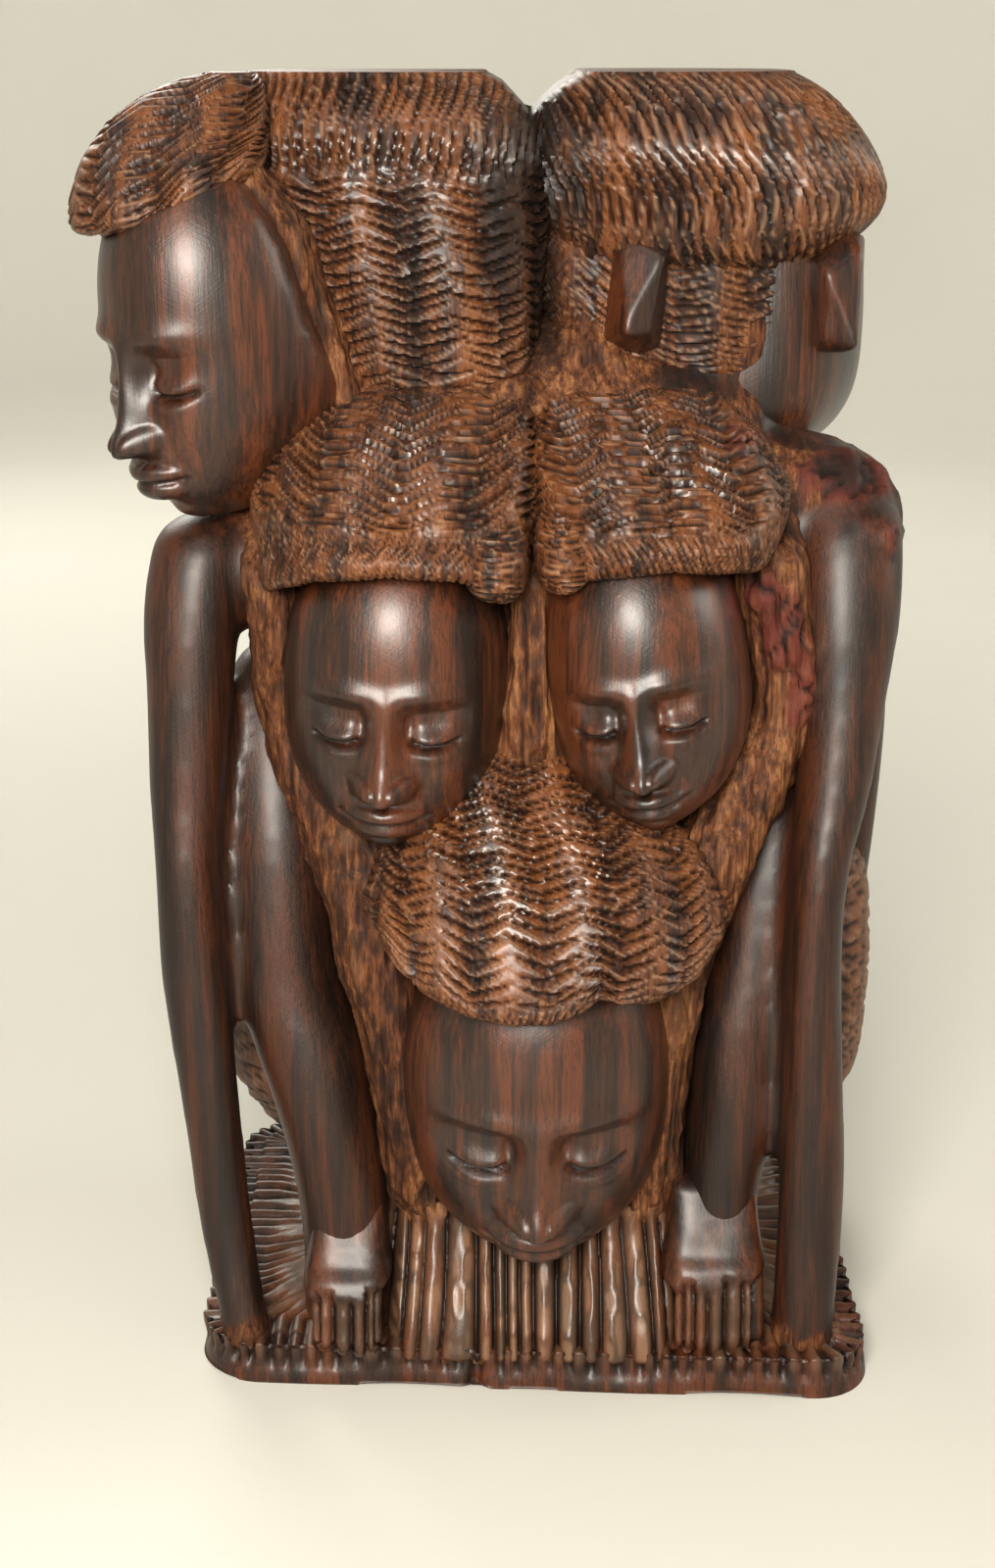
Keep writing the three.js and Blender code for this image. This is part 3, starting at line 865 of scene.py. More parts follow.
def waxedAt(points):
    # the limbs are waxed down to a ragged line just over the base, and so is the bare neck
    limb = np.full(len(points), 9.0)
    for group in (arms, legs, farArms):
        for rings in group.values():
            limb = np.minimum(limb, limbShare(points, rings))
    ragged = 2.5 * grainNoise(points, (4, 4, 4), 26)
    waxed = smooth(1.35, 1.12, limb) * smooth(11.5, 13.5, points[:, 2] + ragged)
    waxed = np.maximum(waxed, patchAt(points, "neck"))
    return waxed * (1 - 0.8 * patchAt(points, "scar"))


def carveBody():
    forms = [carveLimb("body", trunk, 96, 90, 2.3)]
    for group in (arms, legs, thighs, farArms):
        forms += [carveLimb(name, rings) for name, rings in group.items()]
    forms += [carveLump(name, *form) for name, form in lumps.items()]
    whole = oneSkin(forms, "body")
    points = readPoints(whole) / millimetre
    normals = np.zeros(len(points) * 3, np.float32)
    whole.data.vertex_normals.foreach_get("vector", normals)
    fibre = grainNoise(points, (1.5, 1.5, 16), 21) + 0.6 * grainNoise(points, (2.6, 2.6, 30), 22)
    chips = np.abs(grainNoise(points, (3.5, 3.5, 6), 23))
    rough = body["fibreDeep"] * (fibre * 0.6 + chips * 0.7) + 0.5 * grainNoise(points, (9, 9, 16), 24)
    wax = body["waxDeep"] * grainNoise(points, (4, 4, 12), 25)
    bark, crack = barkAt(points)
    waxed = waxedAt(points)
    relief = rough * (1 - waxed) + wax * waxed + body["barkDeep"] * bark
    writePoints(whole, points + normals.reshape(-1, 3) * relief[:, None])
    # painted shade in the deep places of the rough wood and in the bark's cracks
    hollow = np.maximum(smooth(0.1, -0.8, relief) * (1 - waxed), crack)
    # painted shade in the valleys, and a darker tone on the waxed limbs
    shadeAndDarkerWax = np.maximum(patchAt(points, "soot"), 0.5 * waxed)
    setMarks(whole, polish=body["polish"] * waxed, hollow=hollow, scar=patchAt(points, "scar"), soot=shadeAndDarkerWax)
    return whole


bodyPiece = carveBody()
print("body carved")


# Rough ground between the limbs and round the faces, left as it was split, with torn fibres up the block

def fibrous(grid, seed):
    torn = grainNoise(grid, (1.3, 1.3, 13), seed) + 0.7 * grainNoise(grid, (2.8, 2.8, 22), seed + 1)
    chips = np.abs(grainNoise(grid, (3.4, 3.4, 6), seed + 2))
    coarse = grainNoise(grid, (8, 8, 14), seed + 3)
    return 0.8 * torn + 1.5 * chips + 1.1 * coarse - barkAt(grid)[0]


grounds = {
    "leftGround": [
        (188, -60, -50, -34, -4), (182, -62, -49, -44, -6), (174, -61, -49, -45, -8),
        (162, -61, -48, -42, -8), (150, -60, -44, -40, -8), (138, -57, -38, -42, -8),
        (124, -52, -25, -46, -8), (110, -47, -25, -49, -10), (95, -43.5, -24, -50, -12),
        (81, -39.5, -22, -50, -14), (65, -37, -20, -49.5, -16),
        (49, -34.5, -18, -48.5, -18), (42, -33.5, -18, -47.5, -18), (34, -31, -18, -45, -20),
        (28, -30, -19, -42, -20),
    ],
    "rightGround": [
        (194, 46, 55, -26, -8), (184, 42, 57, -38, -8), (176, 42, 58, -40, -8), (166, 44, 60, -39, -8),
        (150, 45, 62, -38, -8), (138, 38, 58, -42, -8), (124, 31, 51, -47, -8), (110, 29, 45, -49.5, -10),
        (95, 26, 39, -50, -12), (81, 24, 36.5, -50, -14), (65, 20, 35, -49.5, -16),
        (49, 18, 34.5, -48.5, -18), (42, 18, 32.5, -47.5, -18), (34, 18, 31, -45, -20),
        (28, 19, 30, -42, -20),
    ],
    "middleGround": [
        (196, -9, 7, -34, -10), (182, -8, 6, -45, -10), (165, -7, 5, -47.5, -10), (150, -9, 7, -48, -12),
        (140, -12, 10, -45, -14), (132, -6, 4, -38, -14),
    ],
    "ledge": [
        (224, -40, 0, -14, 8), (219, -46, 4, -23, 10), (215, -48, 8, -27, 10), (209, -49, 10, -28, 10),
        (203, -44, 6, -26, 8),
    ],
    "notch": [
        (231, 7, 14, -10, 10), (226, 3, 19, -14.5, 12), (220, 0, 24, -17, 12), (214, -2, 31, -21, 12),
        (206, 0, 30, -22, 10),
    ],
    "diagonal": [
        (270, -64, -57, -19, 0), (263, -66, -56, -27, 2), (256, -62, -51, -30.5, 2),
        (248, -57, -46, -30.5, 2), (238, -52, -42, -28.5, 2), (226, -48, -38, -27, 2),
        (214, -46, -34, -25.5, 2), (208, -44, -36, -22, 2),
    ],
}
groundCut = {
    "columns": 104, "fewestRows": 30, "rows": 105, "fullHeight": 160,
    "square": 2.8, "front": 8, "deep": 0.8, "seed": 60,
}


def carveGround(name, rings, seed):
    tall = (rings[0][0] - rings[-1][0]) / groundCut["fullHeight"]
    rows = int(groundCut["fewestRows"] + groundCut["rows"] * tall)
    form = {"rings": rings, "squares": (groundCut["square"], groundCut["square"])}
    grid = loft(form, groundCut["columns"], rows, groundCut["front"])
    relief = groundCut["deep"] * fibrous(grid, seed)
    carved = grid - outward(grid) * relief[..., None]
    scar = patchAt(carved, "scar")
    # painted shade in the deeper tears and the bark's cracks, and painted highlights, partly paler worn
    # fibres, on the raised fibres
    hollow = np.maximum(0.9 * smooth(0.6, 1.7, relief), barkAt(carved)[1])
    lip = 0.3 * smooth(0.1, -0.9, relief) * (1 - scar)
    return carveBall(name, carved, hollow=hollow, lip=lip, scar=scar, soot=patchAt(carved, "soot"))


groundPieces = []
for number, (name, rings) in enumerate(grounds.items()):
    groundPieces.append(carveGround(name, rings, groundCut["seed"] + number))
print("rough ground carved")


# Feet with upright toes under a flat bevel, and the chunky ears of the right upper head

feet = {"leftFoot": (-52, -31, 1.0), "rightFoot": (28, 52.5, 1.18)}  # left, right and lift
footForm = {
    "rings": [
        (39, -43, -34), (37.5, -46, -32), (34, -48.6, -31), (30.5, -51, -30), (27, -53.4, -28),
        (24, -56.4, -24), (18, -59.2, -22), (14, -59.8, -22), (10.5, -60.6, -22), (7, -59, -24),
    ],
    "pinch": [3.6, 2.6, 2.2, 1.8, 1.2, 0.6, 0, 0, 0, 1],
    "square": 4.5, "columns": 130, "rows": 60, "front": 5,
    "toe": 3.7, "groove": 1.9, "toeTop": 23.6, "uneven": 4, "step": 2.2, "polish": 0.75,
}


def carveFoot(name, left, right, lift):
    ground = block["baseThickness"]
    rings = [
        (ground + (z - ground) * lift, left + inwards, right - inwards, front, back)
        for (z, front, back), inwards in zip(footForm["rings"], footForm["pinch"])
    ]
    form = {"rings": rings, "squares": (footForm["square"], footForm["square"])}
    grid = loft(form, footForm["columns"], footForm["rows"], footForm["front"])
    across = (grid[..., 0] - left + 0.7 * np.sin(grid[..., 0] / 2.9)) / footForm["toe"]
    number = np.floor(across)
    valley = (1 - np.abs(np.sin(math.pi * across))) ** 1.3
    top = ground + (footForm["toeTop"] - ground) * lift - footForm["uneven"] * hashed(number, 5.0)
    toes = smooth(-42, -48, grid[..., 1]) * smooth(top + 0.5, top - 2, grid[..., 2])
    ankle = smooth(-1, 1.5, grid[..., 2] - top)
    step = footForm["step"] * hashed(number, 6.0) * toes
    chips = (0.5 - 0.3 * ankle) * np.abs(grainNoise(grid, (6, 6, 5), 8))
    relief = footForm["groove"] * valley * toes + step + chips
    carved = grid - outward(grid) * relief[..., None]
    # painted shade between the toes, and painted highlights on the toes
    hollow = smooth(0.3, 0.8, valley) * toes
    return carveBall(name, carved, polish=footForm["polish"], hollow=hollow, lip=0.25 * toes * (1 - valley))


# Each facet is a flat cut: the way it faces, and how far it lies from the ear's centre
ears = {
    "nearEar": {"centre": (21.5, -14.5, 235), "facets": [
        ((-1, -0.4, 0.15), 4.6), ((-0.35, -1, 0.5), 4.8), ((0.35, -1, 0.1), 5.2), ((1, -0.5, -0.1), 5),
        ((1, 0.4, 0), 6), ((0.1, -0.7, 1), 9), ((-0.6, 0, 1), 11), ((0.7, 0, 1), 11.5),
        ((-0.5, -0.5, -1), 9.5), ((0.6, -0.9, -0.9), 8.5), ((0.2, 0, -1), 11.5), ((-1, 0.8, 0), 7),
        ((0, 1, 0), 9),
    ]},
    "farEar": {"centre": (64, -9, 234), "facets": [
        ((-1, -0.4, -0.1), 4.4), ((-0.5, -1, -0.2), 5), ((0.4, -1, 0.2), 5), ((1, -0.2, 0), 5),
        ((-0.2, -0.8, 1), 8), ((-0.8, 0, 1), 9.5), ((0.6, -0.3, 1), 11.5), ((-0.4, -0.6, -1), 9.5),
        ((0.9, 0, -1), 10), ((0, 0, -1), 11.5), ((-1, 0.8, 0), 7), ((0, 1, 0), 9),
    ]},
}
earCut = {"columns": 56, "rows": 46, "sharp": 26, "uneven": 0.15, "polish": 0.75}


def carveEar(name, centre, facets):
    # flat knife cuts that meet in soft edges
    fall = np.linspace(0, math.pi, earCut["rows"] + 1)
    side = lump((0, 0, 0), (1, 1, 1), 2, turns(earCut["columns"]), fall)
    inverse = 0
    for direction, away in facets:
        direction = np.array(direction) / np.linalg.norm(direction)
        inverse = inverse + np.maximum(side @ direction / away, 0) ** earCut["sharp"]
    grid = side / inverse[..., None] ** (1 / earCut["sharp"]) + np.array(centre)
    grid = grid + earCut["uneven"] * grainNoise(grid, (3, 3, 4), 31)[..., None]
    return carveBall(name, grid, polish=earCut["polish"])


earPieces = [carveEar(name, **ear) for name, ear in ears.items()]
footPieces = [carveFoot(name, *place) for name, place in feet.items()]
print("feet and ears carved")


# The base: a rounded slab with ribs gouged out to its edge

slab = {"halfWide": 75.5, "halfDeep": 56, "corner": 14, "skew": 4, "forward": 4, "columns": 600}
ribs = {"pitch": 4.3, "deep": 2.6, "length": 24, "lip": 3.4, "notch": -13}


def slabOutline(inset, share):
    # the outline of the slab, moved in by inset, at shares of the way round from the middle of the back
    halfWide = slab["halfWide"] - inset
    halfDeep = slab["halfDeep"] - inset
    corner = max(slab["corner"] - inset, 1.5)
    straightX, straightY = halfWide - corner, halfDeep - corner
    half, sideways = slab["halfWide"] - slab["corner"], 2 * (slab["halfDeep"] - slab["corner"])
    arc = math.pi / 2 * slab["corner"]
    lengths = [half, arc, sideways, arc, 2 * half, arc, sideways, arc, half]
    ends = np.concatenate([[0], np.cumsum(lengths)])
    way = share * ends[-1]
    stretch = np.clip(np.searchsorted(ends, way, side="right") - 1, 0, 8)
    part = (way - ends[stretch]) / np.array(lengths)[stretch]
    x, y = np.zeros_like(way), np.zeros_like(way)
    # from the middle of the back to the left, along the left side, the front and the right side
    starts = {
        0: ((0, halfDeep), (-straightX, halfDeep)),
        2: ((-halfWide, straightY), (-halfWide, -straightY)),
        4: ((-straightX, -halfDeep), (straightX, -halfDeep)),
        6: ((halfWide, -straightY), (halfWide, straightY)),
        8: ((straightX, halfDeep), (0, halfDeep)),
    }
    for number, (start, end) in starts.items():
        here = stretch == number
        x[here] = start[0] + (end[0] - start[0]) * part[here]
        y[here] = start[1] + (end[1] - start[1]) * part[here]
    rounds = {
        1: ((-straightX, straightY), 90),
        3: ((-straightX, -straightY), 180),
        5: ((straightX, -straightY), 270),
        7: ((straightX, straightY), 0),
    }
    for number, (centre, angle) in rounds.items():
        here = stretch == number
        swing = np.radians(angle + 90 * part[here])
        x[here] = centre[0] + corner * np.cos(swing)
        y[here] = centre[1] + corner * np.sin(swing)
    moved = slab["skew"] * -x / slab["halfWide"] - slab["forward"]
    return x, y + moved * smooth(0, -slab["halfDeep"], y), way


def slabRings():
    # (inset, height) from the middle of the top out to its edge, down the side and in under the block
    top = block["baseThickness"]
    insets = list(np.linspace(54, 27, 4)) + list(np.linspace(25, 0.9, 40))
    downs = [9.2, 8, 6.8, 5.6, 4.6, 3.4, 2.2, 1, 0.3, 0]
    rings = [(inset, top) for inset in insets] + [(0.35, 9.85), (0.05, 9.5)]
    rings += [(0, height) for height in downs]
    return rings + [(inset, 0) for inset in (1, 12, 30, 50)]


def ribRelief(x, y, way, inset, height):
    # how deep the slab is cut: valleys between the ribs, a wavy foot under them and a notch in the front edge
    phase = (way + 1.1 * np.sin(way / 7.7) + 0.7 * np.sin(way / 4.1 + 1)) / ribs["pitch"]
    turned = np.floor(phase + 0.5)
    rib = np.abs(np.cos(math.pi * phase)) ** 0.8
    size = 0.7 + 0.5 * hashed(turned, 7.0)
    reach = ribs["length"] * (0.7 + 0.3 * hashed(turned, 8.0))
    end = ribs["lip"] + 1.4 * hashed(turned, 9.0)
    fade = smooth(reach, reach - 7, inset) * smooth(end - 0.8, end + 1.6, height)
    valley = ribs["deep"] * size * (1 - rib) * fade
    wave = 0.9 * np.sin(way / 11.3) + 0.6 * np.sin(way / 5.9 + 2)
    notch = 2.2 * spot(x - ribs["notch"], 0, 1.5, 1) * (y < 0) * (inset < 1)
    bulge = 0.8 * smooth(end, end - 2, height) - 0.5
    foot = smooth(9, 1, height)
    valley = valley + (0.6 + 0.5 * wave) * foot + notch - bulge * foot
    return valley + 0.8 * hashed(turned, 10.0) * fade * (inset < 6)


def carveBase():
    rings, columns = slabRings(), slab["columns"]
    share = np.arange(columns) / columns
    grid = np.zeros((len(rings) + 2, columns, 3))
    relief = np.zeros(grid.shape[:2])
    for number, (inset, height) in enumerate(rings, 1):
        x, y, way = slabOutline(inset, share)
        grid[number] = np.stack([x, y, np.full(columns, float(height))], -1)
        relief[number] = ribRelief(x, y, way, inset, height)
    grid[0] = (0, 0, block["baseThickness"])
    grid[-1] = (0, 0, 0)
    normal = outward(grid)
    carved = grid - normal * relief[..., None]
    shaped = smooth(0.3, 3, carved[..., 2])
    waves = grainNoise(carved, (2.2, 2.2, 2.2), 41) * 0.18 + grainNoise(carved, (11, 11, 11), 42) * 0.5
    carved = carved - normal * (np.abs(waves) * shaped)[..., None]
    carved[..., 2] = np.clip(carved[..., 2], 0, block["baseThickness"])
    height = grid[..., 2]
    polish = 0.45 + 0.35 * smooth(1.5, 4.5, height)
    # painted shade in the valleys between the ribs, and painted highlights on the ribs' tops
    hollow = smooth(0.9, 2.3, relief) * smooth(2, 4.5, height)
    ridge = smooth(0.9, 0.2, relief) * smooth(5, 8, height)
    return carveBall("base", carved, polish=polish, hollow=hollow, lip=0.4 * ridge)


basePiece = carveBase()
print("base carved")


# The ribbed apron that slopes from under the lowest chin to the front edge

apron = {
    "left": -35, "right": 34.5, "front": -59.2, "slope": 14.5, "top": 38, "foot": 4.5, "tuck": 3,
    "columns": 250, "rows": 84,
    "turnedBack": 13,  # its side edges curve back by this much
    "thick": 14,
}


def carveApron():
    columns, rows = apron["columns"], apron["rows"]
    bpy.ops.object.select_all(action="DESELECT")
    bpy.ops.mesh.primitive_grid_add(x_subdivisions=columns, y_subdivisions=rows, size=2)
    piece = bpy.context.object
    piece.name = "apron"
    flat = readPoints(piece)
    across, up = (flat[:, 0] + 1) / 2, (flat[:, 1] + 1) / 2
    x = apron["left"] + (apron["right"] - apron["left"]) * across
    z = apron["foot"] + (apron["top"] - apron["foot"]) * up
    lean = smooth(0.12, 1, up)
    y = apron["front"] - 2 * across + apron["slope"] * lean + apron["tuck"] * smooth(9, 4.5, z) ** 2
    uneven = 1.5 * np.sin(x / 5.3 + 0.5) + 0.9 * np.sin(x / 3.1 + 2) + 0.5 * np.sin(z / 13 + x / 7)
    phase = (x + uneven + 0.05 * x * (z - 20) / 20) / ribs["pitch"]
    number = np.floor(phase + 0.5)
    rib = np.abs(np.cos(math.pi * phase)) ** 0.75
    size = 0.75 + 0.6 * hashed(number, 3.0)
    top = 0.86 + 0.12 * hashed(number, 4.0)
    valley = ribs["deep"] * size * (1 - rib) * smooth(-0.02, 0.1, up) * smooth(top + 0.06, top - 0.06, up)
    dents = np.abs(grainNoise(np.stack([x, y, z], -1), (2.4, 8, 5), 45))
    y = y + valley + 1.6 * hashed(number, 5.0) * smooth(0, 0.2, up) + 0.8 * dents
    edge = np.maximum(smooth(0.12, 0, across), smooth(0.88, 1, across))
    y = y + apron["turnedBack"] * edge**1.6
    flat[:, 0], flat[:, 1], flat[:, 2] = x, y, z
    writePoints(piece, flat)
    # a painted reflection lightens the whole apron and more of it on the ribs' tops, and painted shade
    # darkens the valleys
    ridge = smooth(0.9, 0.2, valley) * smooth(0.45, 0.65, dents + 0.4 * hashed(number, 6.0))
    setMarks(piece, polish=0.95 * smooth(1, 0.8, up), hollow=smooth(0.6, 1.9, valley), lip=0.3 + 0.6 * ridge)
    bpy.ops.object.mode_set(mode="EDIT")
    bpy.ops.mesh.select_all(action="SELECT")
    bpy.ops.mesh.region_to_loop()
    bpy.ops.mesh.extrude_edges_move(TRANSFORM_OT_translate={"value": (0, apron["thick"] * millimetre, 0)})
    bpy.ops.mesh.edge_face_add()
    bpy.ops.mesh.select_all(action="SELECT")
    bpy.ops.mesh.normals_make_consistent(inside=False)
    bpy.ops.object.mode_set(mode="OBJECT")
    return piece


apronPiece = carveApron()
print("apron carved")


# Blackwood: growth streaks that run up the block, wax on what is polished, painted shade in the cuts and
# valleys and painted highlights on the edges

def newGroup(name, inputs, outputs):
    group = bpy.data.node_groups.new(name, "ShaderNodeTree")
    for label, value in inputs.items():
        socket = group.interface.new_socket(label, in_out="INPUT", socket_type="NodeSocketFloat")
        socket.default_value = value
    for label in outputs:
        group.interface.new_socket(label, in_out="OUTPUT", socket_type="NodeSocketFloat")
    return group, group.nodes.new("NodeGroupInput"), group.nodes.new("NodeGroupOutput")


def node(tree, kind, values=None, **settings):
    made = tree.nodes.new(kind)
    for key, value in settings.items():
        setattr(made, key, value)
    for key, value in (values or {}).items():
        made.inputs[key].default_value = value
    return made


def wire(tree, *pairs):
    for source, target in pairs:
        tree.links.new(source, target)


def maths(tree, operation, a, b, clamp=False):
    made = node(tree, "ShaderNodeMath", operation=operation, use_clamp=clamp)
    for number, value in enumerate((a, b)):
        if isinstance(value, (int, float)):
            made.inputs[number].default_value = value
        else:
            tree.links.new(value, made.inputs[number])
    return made.outputs[0]


def times(tree, value, factor):
    return maths(tree, "MULTIPLY", value, factor)


def weighted(tree, *parts):
    # the sum of several values, each times its weight
    total, *others = [times(tree, value, weight) for value, weight in parts]
    for other in others:
        total = maths(tree, "ADD", total, other)
    return total


def ramp(tree, source, stops):
    # a colour of the wood for each range of the source, blended between the stops
    made = node(tree, "ShaderNodeValToRGB")
    elements = made.color_ramp.elements
    while len(elements) < len(stops):
        elements.new(0.5)
    for element, (place, colour) in zip(elements, stops):
        element.position = place
        element.color = (*wood[colour], 1)
    tree.links.new(source, made.inputs[0])
    return made.outputs[0]


# How fine each kind of streak is along x, y and z, for a metre, and its detail
streakKinds = {
    "Broad": ((110, 60, 5), 2.0),
    "Middle": ((380, 220, 14), 2.0),
    "Fine": ((1500, 900, 45), 1.0),
    "Pores": ((2600, 2600, 150), 1.0),
    "Torn": ((800, 800, 170), 3.0),
}
# The tilt of each kind of scratch in degrees, and how fine it is
scratchKinds = [((0, 35, 0), (260, 260, 2600)), ((0, -28, 20), (300, 300, 3200))]


def streakGroup():
    # growth streaks drawn out along the grain, which runs up the block, and long pores
    tree, start, end = newGroup("growth streaks", {"Waviness": 0.006}, streakKinds)
    place = node(tree, "ShaderNodeTexCoord").outputs["Object"]
    slow = node(tree, "ShaderNodeMapping")
    slow.inputs["Scale"].default_value = (14, 14, 5)
    warp = node(tree, "ShaderNodeTexNoise", {"Scale": 1.0, "Detail": 2.0})
    centred = node(tree, "ShaderNodeVectorMath", operation="SUBTRACT")
    centred.inputs[1].default_value = (0.5, 0.5, 0.5)
    sway = node(tree, "ShaderNodeVectorMath", operation="SCALE")
    shift = node(tree, "ShaderNodeVectorMath", operation="ADD")
    wire(tree, (place, slow.inputs["Vector"]), (slow.outputs[0], warp.inputs["Vector"]))
    wire(tree, (warp.outputs["Color"], centred.inputs[0]), (centred.outputs[0], sway.inputs[0]))
    wire(tree, (start.outputs["Waviness"], sway.inputs["Scale"]))
    wire(tree, (place, shift.inputs[0]), (sway.outputs[0], shift.inputs[1]))
    for label, (stretch, detail) in streakKinds.items():
        scaled = node(tree, "ShaderNodeVectorMath", operation="MULTIPLY")
        scaled.inputs[1].default_value = stretch
        noise = node(tree, "ShaderNodeTexNoise", {"Scale": 1.0, "Detail": detail, "Roughness": 0.6})
        wire(tree, (shift.outputs[0], scaled.inputs[0]), (scaled.outputs[0], noise.inputs["Vector"]))
        wire(tree, (noise.outputs["Fac"], end.inputs[label]))
    return tree


def scratchGroup():
    # fine marks of scraping and sanding, in two slanting directions
    tree, start, end = newGroup("scratches", {"Scale": 1.0}, ["Height"])
    place = node(tree, "ShaderNodeTexCoord").outputs["Object"]
    heights = []
    for tilt, stretch in scratchKinds:
        turned = node(tree, "ShaderNodeMapping")
        turned.inputs["Rotation"].default_value = [math.radians(angle) for angle in tilt]
        scaled = node(tree, "ShaderNodeVectorMath", operation="MULTIPLY")
        scaled.inputs[1].default_value = stretch
        noise = node(tree, "ShaderNodeTexNoise", {"Scale": 1.0, "Detail": 2.0})
        wire(tree, (place, turned.inputs["Vector"]), (turned.outputs[0], scaled.inputs[0]))
        wire(tree, (scaled.outputs[0], noise.inputs["Vector"]))
        heights.append(noise.outputs["Fac"])
    total = times(tree, maths(tree, "ADD", *heights), start.outputs["Scale"])
    wire(tree, (total, end.inputs["Height"]))
    return tree


wood = {
    "black": (0.0045, 0.002, 0.0012),
    "dark": (0.0105, 0.0036, 0.0017),
    "brown": (0.027, 0.008, 0.0029),
    "red": (0.072, 0.0175, 0.0046),
    "amber": (0.072, 0.0222, 0.0062),
    "rust": (0.14, 0.0455, 0.0128),
    "orange": (0.085, 0.0275, 0.0085),
    "tan": (0.22, 0.096, 0.036),
    # the colour of the painted highlights, partly paler worn wood
    "lip": (0.3, 0.165, 0.09),
    "scar": (0.075, 0.013, 0.009),
}


finish = {
    "waxed": [(0.35, "black"), (0.42, "dark"), (0.49, "brown"), (0.57, "red"), (0.7, "brown")],
    "dry": [(0.36, "dark"), (0.44, "brown"), (0.52, "orange"), (0.64, "tan")],
    "strands": [(0.38, "dark"), (0.44, "brown"), (0.5, "amber"), (0.62, "rust")],
    "waxedFrom": 0.3, "waxedPer": 2.6,  # how soon polish turns dry wood into waxed wood
    "poreEdge": 0.4, "poreDark": 0.5,
    # painted highlights, partly paler worn wood; the bark; painted shade in the valleys, which also darkens
    # the waxed limbs; painted shade in the cuts, creases and cracks
    "layers": [
        ("lip", 0.4, "lip"), ("scar", 0.8, "scar"), ("soot", 0.85, "black"), ("hollow", 0.95, "black"),
    ],
    "roughness": 0.68, "polishSmooths": 0.3, "fineRoughens": 0.08,
    "coat": 0.62, "coatLostInHollows": 0.85, "coatRoughness": 0.35, "specular": 0.2,
    "bumpStrength": 0.35, "bumpDistance": 0.0004, "bumpLostInHair": 0.6,
}


def mixed(tree, factor, a, b):
    made = node(tree, "ShaderNodeMix", data_type="RGBA", blend_type="MIX")
    for name, value in (("Factor", factor), ("A", a), ("B", b)):
        socket = [s for s in made.inputs if s.name == name and (s.type == "RGBA" or name == "Factor")][0]
        if isinstance(value, tuple):
            socket.default_value = (*value, 1)
        else:
            tree.links.new(value, socket)
    return [s for s in made.outputs if s.type == "RGBA"][0]


def woodColour(tree, streaks, marks):
    broad, middle, fine = (streaks.outputs[kind] for kind in ("Broad", "Middle", "Fine"))
    streak = weighted(tree, (broad, 0.5), (middle, 0.32), (fine, 0.18))
    frayed = weighted(tree, (streak, 0.6), (streaks.outputs["Torn"], 0.4))
    strand = weighted(tree, (broad, 0.45), (middle, 0.35), (fine, 0.2))
    waxed = ramp(tree, streak, finish["waxed"])
    dry = ramp(tree, frayed, finish["dry"])
    strands = ramp(tree, strand, finish["strands"])
    polish = times(tree, marks["polish"], finish["waxedPer"])
    share = maths(tree, "SUBTRACT", polish, finish["waxedFrom"], True)
    colour = mixed(tree, share, dry, waxed)
    colour = mixed(tree, marks["hair"], colour, strands)
    pores = maths(tree, "LESS_THAN", streaks.outputs["Pores"], finish["poreEdge"])
    colour = mixed(tree, times(tree, pores, finish["poreDark"]), colour, wood["black"])
    # the painted highlights, the bark and the painted shade go over the wood's own colour
    for mark, strength, shade in finish["layers"]:
        colour = mixed(tree, times(tree, marks[mark], strength), colour, wood[shade])
    return colour


def woodBump(tree, streaks, marks):
    scratches = node(tree, "ShaderNodeGroup", {"Scale": 1.0}, node_tree=scratchGroup())
    fine, pores = streaks.outputs["Fine"], streaks.outputs["Pores"]
    height = weighted(tree, (scratches.outputs["Height"], 0.5), (fine, 0.8), (pores, 0.5))
    bare = maths(tree, "SUBTRACT", 1.0, times(tree, marks["hair"], finish["bumpLostInHair"]))
    values = {"Strength": finish["bumpStrength"], "Distance": finish["bumpDistance"]}
    bump = node(tree, "ShaderNodeBump", values)
    wire(tree, (times(tree, height, bare), bump.inputs["Height"]))
    return bump.outputs["Normal"]


def blackwood():
    material = bpy.data.materials.new("blackwood")
    material.use_nodes = True
    tree = material.node_tree
    shader = tree.nodes["Principled BSDF"]
    streaks = node(tree, "ShaderNodeGroup", node_tree=streakGroup())
    marks = {}
    for name in markNames:
        marks[name] = node(tree, "ShaderNodeAttribute", attribute_name=name).outputs["Fac"]
    wire(tree, (woodColour(tree, streaks, marks), shader.inputs["Base Color"]))
    dull = maths(tree, "SUBTRACT", finish["roughness"], times(tree, marks["polish"], finish["polishSmooths"]))
    dull = maths(tree, "ADD", dull, times(tree, streaks.outputs["Fine"], finish["fineRoughens"]))
    wire(tree, (dull, shader.inputs["Roughness"]))
    clear = maths(tree, "SUBTRACT", 1.0, times(tree, marks["hollow"], finish["coatLostInHollows"]), True)
    coat = times(tree, times(tree, marks["polish"], finish["coat"]), clear)
    wire(tree, (coat, shader.inputs["Coat Weight"]))
    shader.inputs["Coat Roughness"].default_value = finish["coatRoughness"]
    shader.inputs["Specular IOR Level"].default_value = finish["specular"]
    wire(tree, (woodBump(tree, streaks, marks), shader.inputs["Normal"]))
    return material


woodMaterial = blackwood()


def finished(parts, name, crisp=None):
    piece = joined(parts, name)
    piece.data.materials.clear()
    piece.data.materials.append(woodMaterial)
    bpy.ops.object.shade_smooth()
    if crisp:
        bpy.ops.object.shade_smooth_by_angle(angle=math.radians(crisp))
    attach(piece, "root")
    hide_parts("carving")


